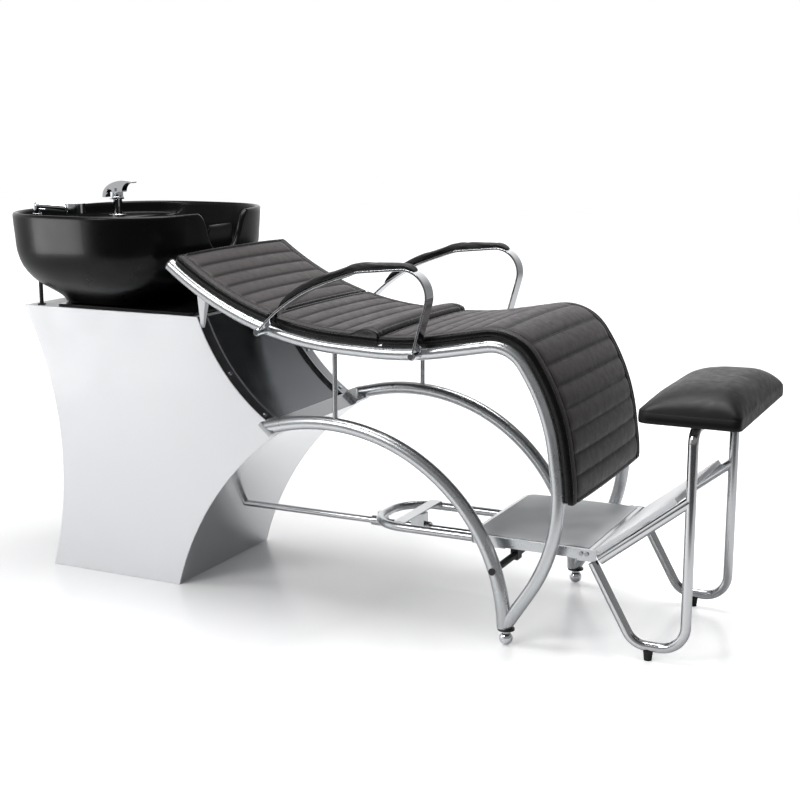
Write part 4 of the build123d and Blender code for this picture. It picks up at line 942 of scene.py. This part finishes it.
arm_reach = 0.421
arm_rise = 0.158
arm_rear = line_spot(seat_line, 0.1878 * line_length(seat_line))
arm_front = line_spot(seat_line, 0.4319 * line_length(seat_line))
arm_line = bent_line(
    [arm_rear[:2]] + [(arm_rear[0] + x * arm_reach, arm_rear[1] + z * arm_rise) for x, z in (
        (0.17, 0.524), (0.586, 0.923), (1.039, 1.045), (0.981, 0.441))] + [arm_front[:2]],
    [share * arm_reach for share in (0.99, 0.412, 0.137, 0.443)])


def arm_pad(side, name):
    """Slim pad along the top of the bar: even to its blunt ends, with a seam along its lower edge"""
    length = line_length(arm_line)
    first, last = 0.123 * length, 0.685 * length
    tube_radius = 15.3 * millimetre
    middle_y = side * (frame_half_width + tube_radius + 18 * millimetre)
    bar_top = 2.8 * millimetre
    half_width = 22 * millimetre
    thickness = 17 * millimetre
    rows, count = 76, 32
    points, seam_shades = [], []
    for r in range(rows + 1):
        part = 0.5 - 0.5 * math.cos(math.pi * r / rows)
        fullness = (1 - abs(2 * part - 1) ** 7) ** 0.5
        settle = 1 - 0.3 * abs(2 * part - 1) ** 2.5
        station = first + (last - first) * part
        width = half_width * (0.6 + 0.4 * fullness) * (0.86 + 0.14 * settle)
        height = thickness * (0.1 + 0.9 * fullness) * settle
        for i in range(count):
            turn = 2 * math.pi * i / count
            across = math.copysign(abs(math.cos(turn)) ** 0.7, math.cos(turn))
            up = math.copysign(abs(math.sin(turn)) ** 0.8, math.sin(turn))
            rise = bar_top + height * (0.32 + (0.68 if up > 0 else 0.32) * up)
            # The seam along the lower edge is a small groove, and it is also darkened with painted shade
            sewn = 1 if abs(up) < 0.05 else 0
            points.append(beside(arm_line, station, middle_y + width * (across - 0.05 * sewn * across), rise))
            seam_shades.append(sewn)
    pad = soft_piece(name, points, grid_faces(rows, count), seam_shades, [0] * len(seam_shades), black_leatherette, "bed")
    loose = [not sewn and i % count < count // 2 for i, sewn in enumerate(seam_shades)]
    settled(pad, loose, 0.02, 1.2 * millimetre)
    rounded(pad)
    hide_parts("arm_pad_near" if side < 0 else "arm_pad_far")


arm_pad(-1, "sewn_arm_pad_near")
arm_pad(1, "sewn_arm_pad_far")


# Rail: a polished rod out of the cabinet, its zinc plated stop collar and the black glides on the cross rod.
tube_steel = bright_metal("polished_steel_tube", "#CDCED0", 0.14,
                          (60 * millimetre, 2 * millimetre, 60 * millimetre), 0.04)
zinc_plate = bright_metal("zinc_plated_steel", "#A9ABAD", 0.34, [1.5 * millimetre] * 3, 0.15)
dress(tube_steel, "rail_rod")
dress(zinc_plate, "rod_collar", "lug_bolts", edge=0.6 * millimetre)
dress(black_plastic, "glide_blocks", edge=0.6 * millimetre)


# Sled: a bent tube frame with a sleeve on the rail and a strap across, in the seat frame's lacquer.
dress(satin_lacquer, "rod_sleeve", "sled_frame")
dress(satin_lacquer, "cross_strap", "tread_bearers", edge=0.6 * millimetre)


# Tread: a folded plate with a grey rubber mat let in, textured for grip.
dress(bright_metal("satin_steel_plate", "#C4C6C8", 0.24, [2 * millimetre] * 3, 0.05), "tread_plate",
      edge=0.8 * millimetre)
dress(moulded_plastic("grey_rubber_mat", "#D2D4D6", 0.5, 3 * millimetre, 0.5), "tread_mat",
      edge=0.4 * millimetre)


# Footrest: two floor loops, slanted tubes and a bent top bar of polished tube, on two tapered rubber feet.
dress(tube_steel, "leg_loop_near", "leg_loop_far", "slant_tubes", "top_bar")
dress(black_rubber, "rubber_feet")


# Footrest cushion: moulded foam under black leatherette, domed and fuller towards its end, sewn on a welt.
def foot_cushion():
    low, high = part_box("footrest_cushion")
    length = high.x - low.x
    half_width = (high.y - low.y) / 2
    band = 15 * millimetre
    wrap = 8 * millimetre
    wrap_width = 11 * millimetre
    side_bulge = 4.6 * millimetre
    near_corner, far_corner = 26 * millimetre, 15 * millimetre
    crown = high.z - low.z - band
    fullness_stops = ((0.0, 0.3), (0.1, 0.56), (0.22, 0.78), (0.4, 0.95), (0.6, 1.0), (0.8, 0.98),
                      (0.92, 0.86), (1.0, 0.66))
    # The third figure darkens the welt with painted shade where the top meets the band
    band_profile = [(0.0, -1.0, 0), (-1.6, -0.9, 0), (-4.0, -0.35, 0), (-4.6, 0.15, 0), (-3.6, 0.6, 0),
                    (-1.6, 0.92, 0.5), (0.2, 1.02, 1), (1.0, 1.12, 0.4)]
    rows, cells, under_cells = 54, 64, 16
    points, seam_shades, loose = [], [], []
    for r in range(rows + 1):
        share = 0.5 - 0.5 * math.cos(math.pi * r / rows)
        place = low.x + length * share
        end_gap = min(place - low.x, high.x - place)
        corner = near_corner if share < 0.5 else far_corner
        draw = corner - math.sqrt(max(0, corner ** 2 - max(0, corner - end_gap) ** 2))
        half = half_width - draw - side_bulge
        along = abs(2 * share - 1)
        fullness = smooth_share(fullness_stops, share) * (1 - along ** 9) ** 0.55
        end_wrap = wrap if end_gap < wrap_width else 0
        side = [(-half + out * millimetre, rise * (wrap if rise < 0 else band), seam_shade, 0)
                for out, rise, seam_shade in band_profile]
        line = list(side)
        for i in range(cells + 1):
            spot = -0.99 + 1.98 * i / cells
            dome = (1 - abs(spot) ** 3.4) ** 0.6
            line.append((spot * half, band * 1.12 + crown * fullness * dome, 0, 1))
        line += [(-y, rise, seam_shade, 0) for y, rise, seam_shade, _ in reversed(side)]
        lip = half - wrap_width
        line += [(lip, -wrap, 0, 0), (lip - 0.5 * millimetre, -end_wrap, 0, 0)]
        line += [(y, -end_wrap, 0, 0) for y in np.linspace(0.9 * lip, -0.9 * lip, under_cells)]
        line += [(0.5 * millimetre - lip, -end_wrap, 0, 0), (-lip, -wrap, 0, 0)]
        for y, rise, seam_shade, free in line:
            points.append((place, y, low.z + rise))
            seam_shades.append(seam_shade)
            loose.append(bool(free and 0 < r < rows))
    count = len(line)
    cushion = soft_piece("sewn_footrest_cushion", points, grid_faces(rows, count), seam_shades, [0] * len(seam_shades),
                         black_leatherette, "sled")
    settled(cushion, loose, 0.003, 0.8 * millimetre)
    rounded(cushion)
    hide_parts("footrest_cushion")


foot_cushion()
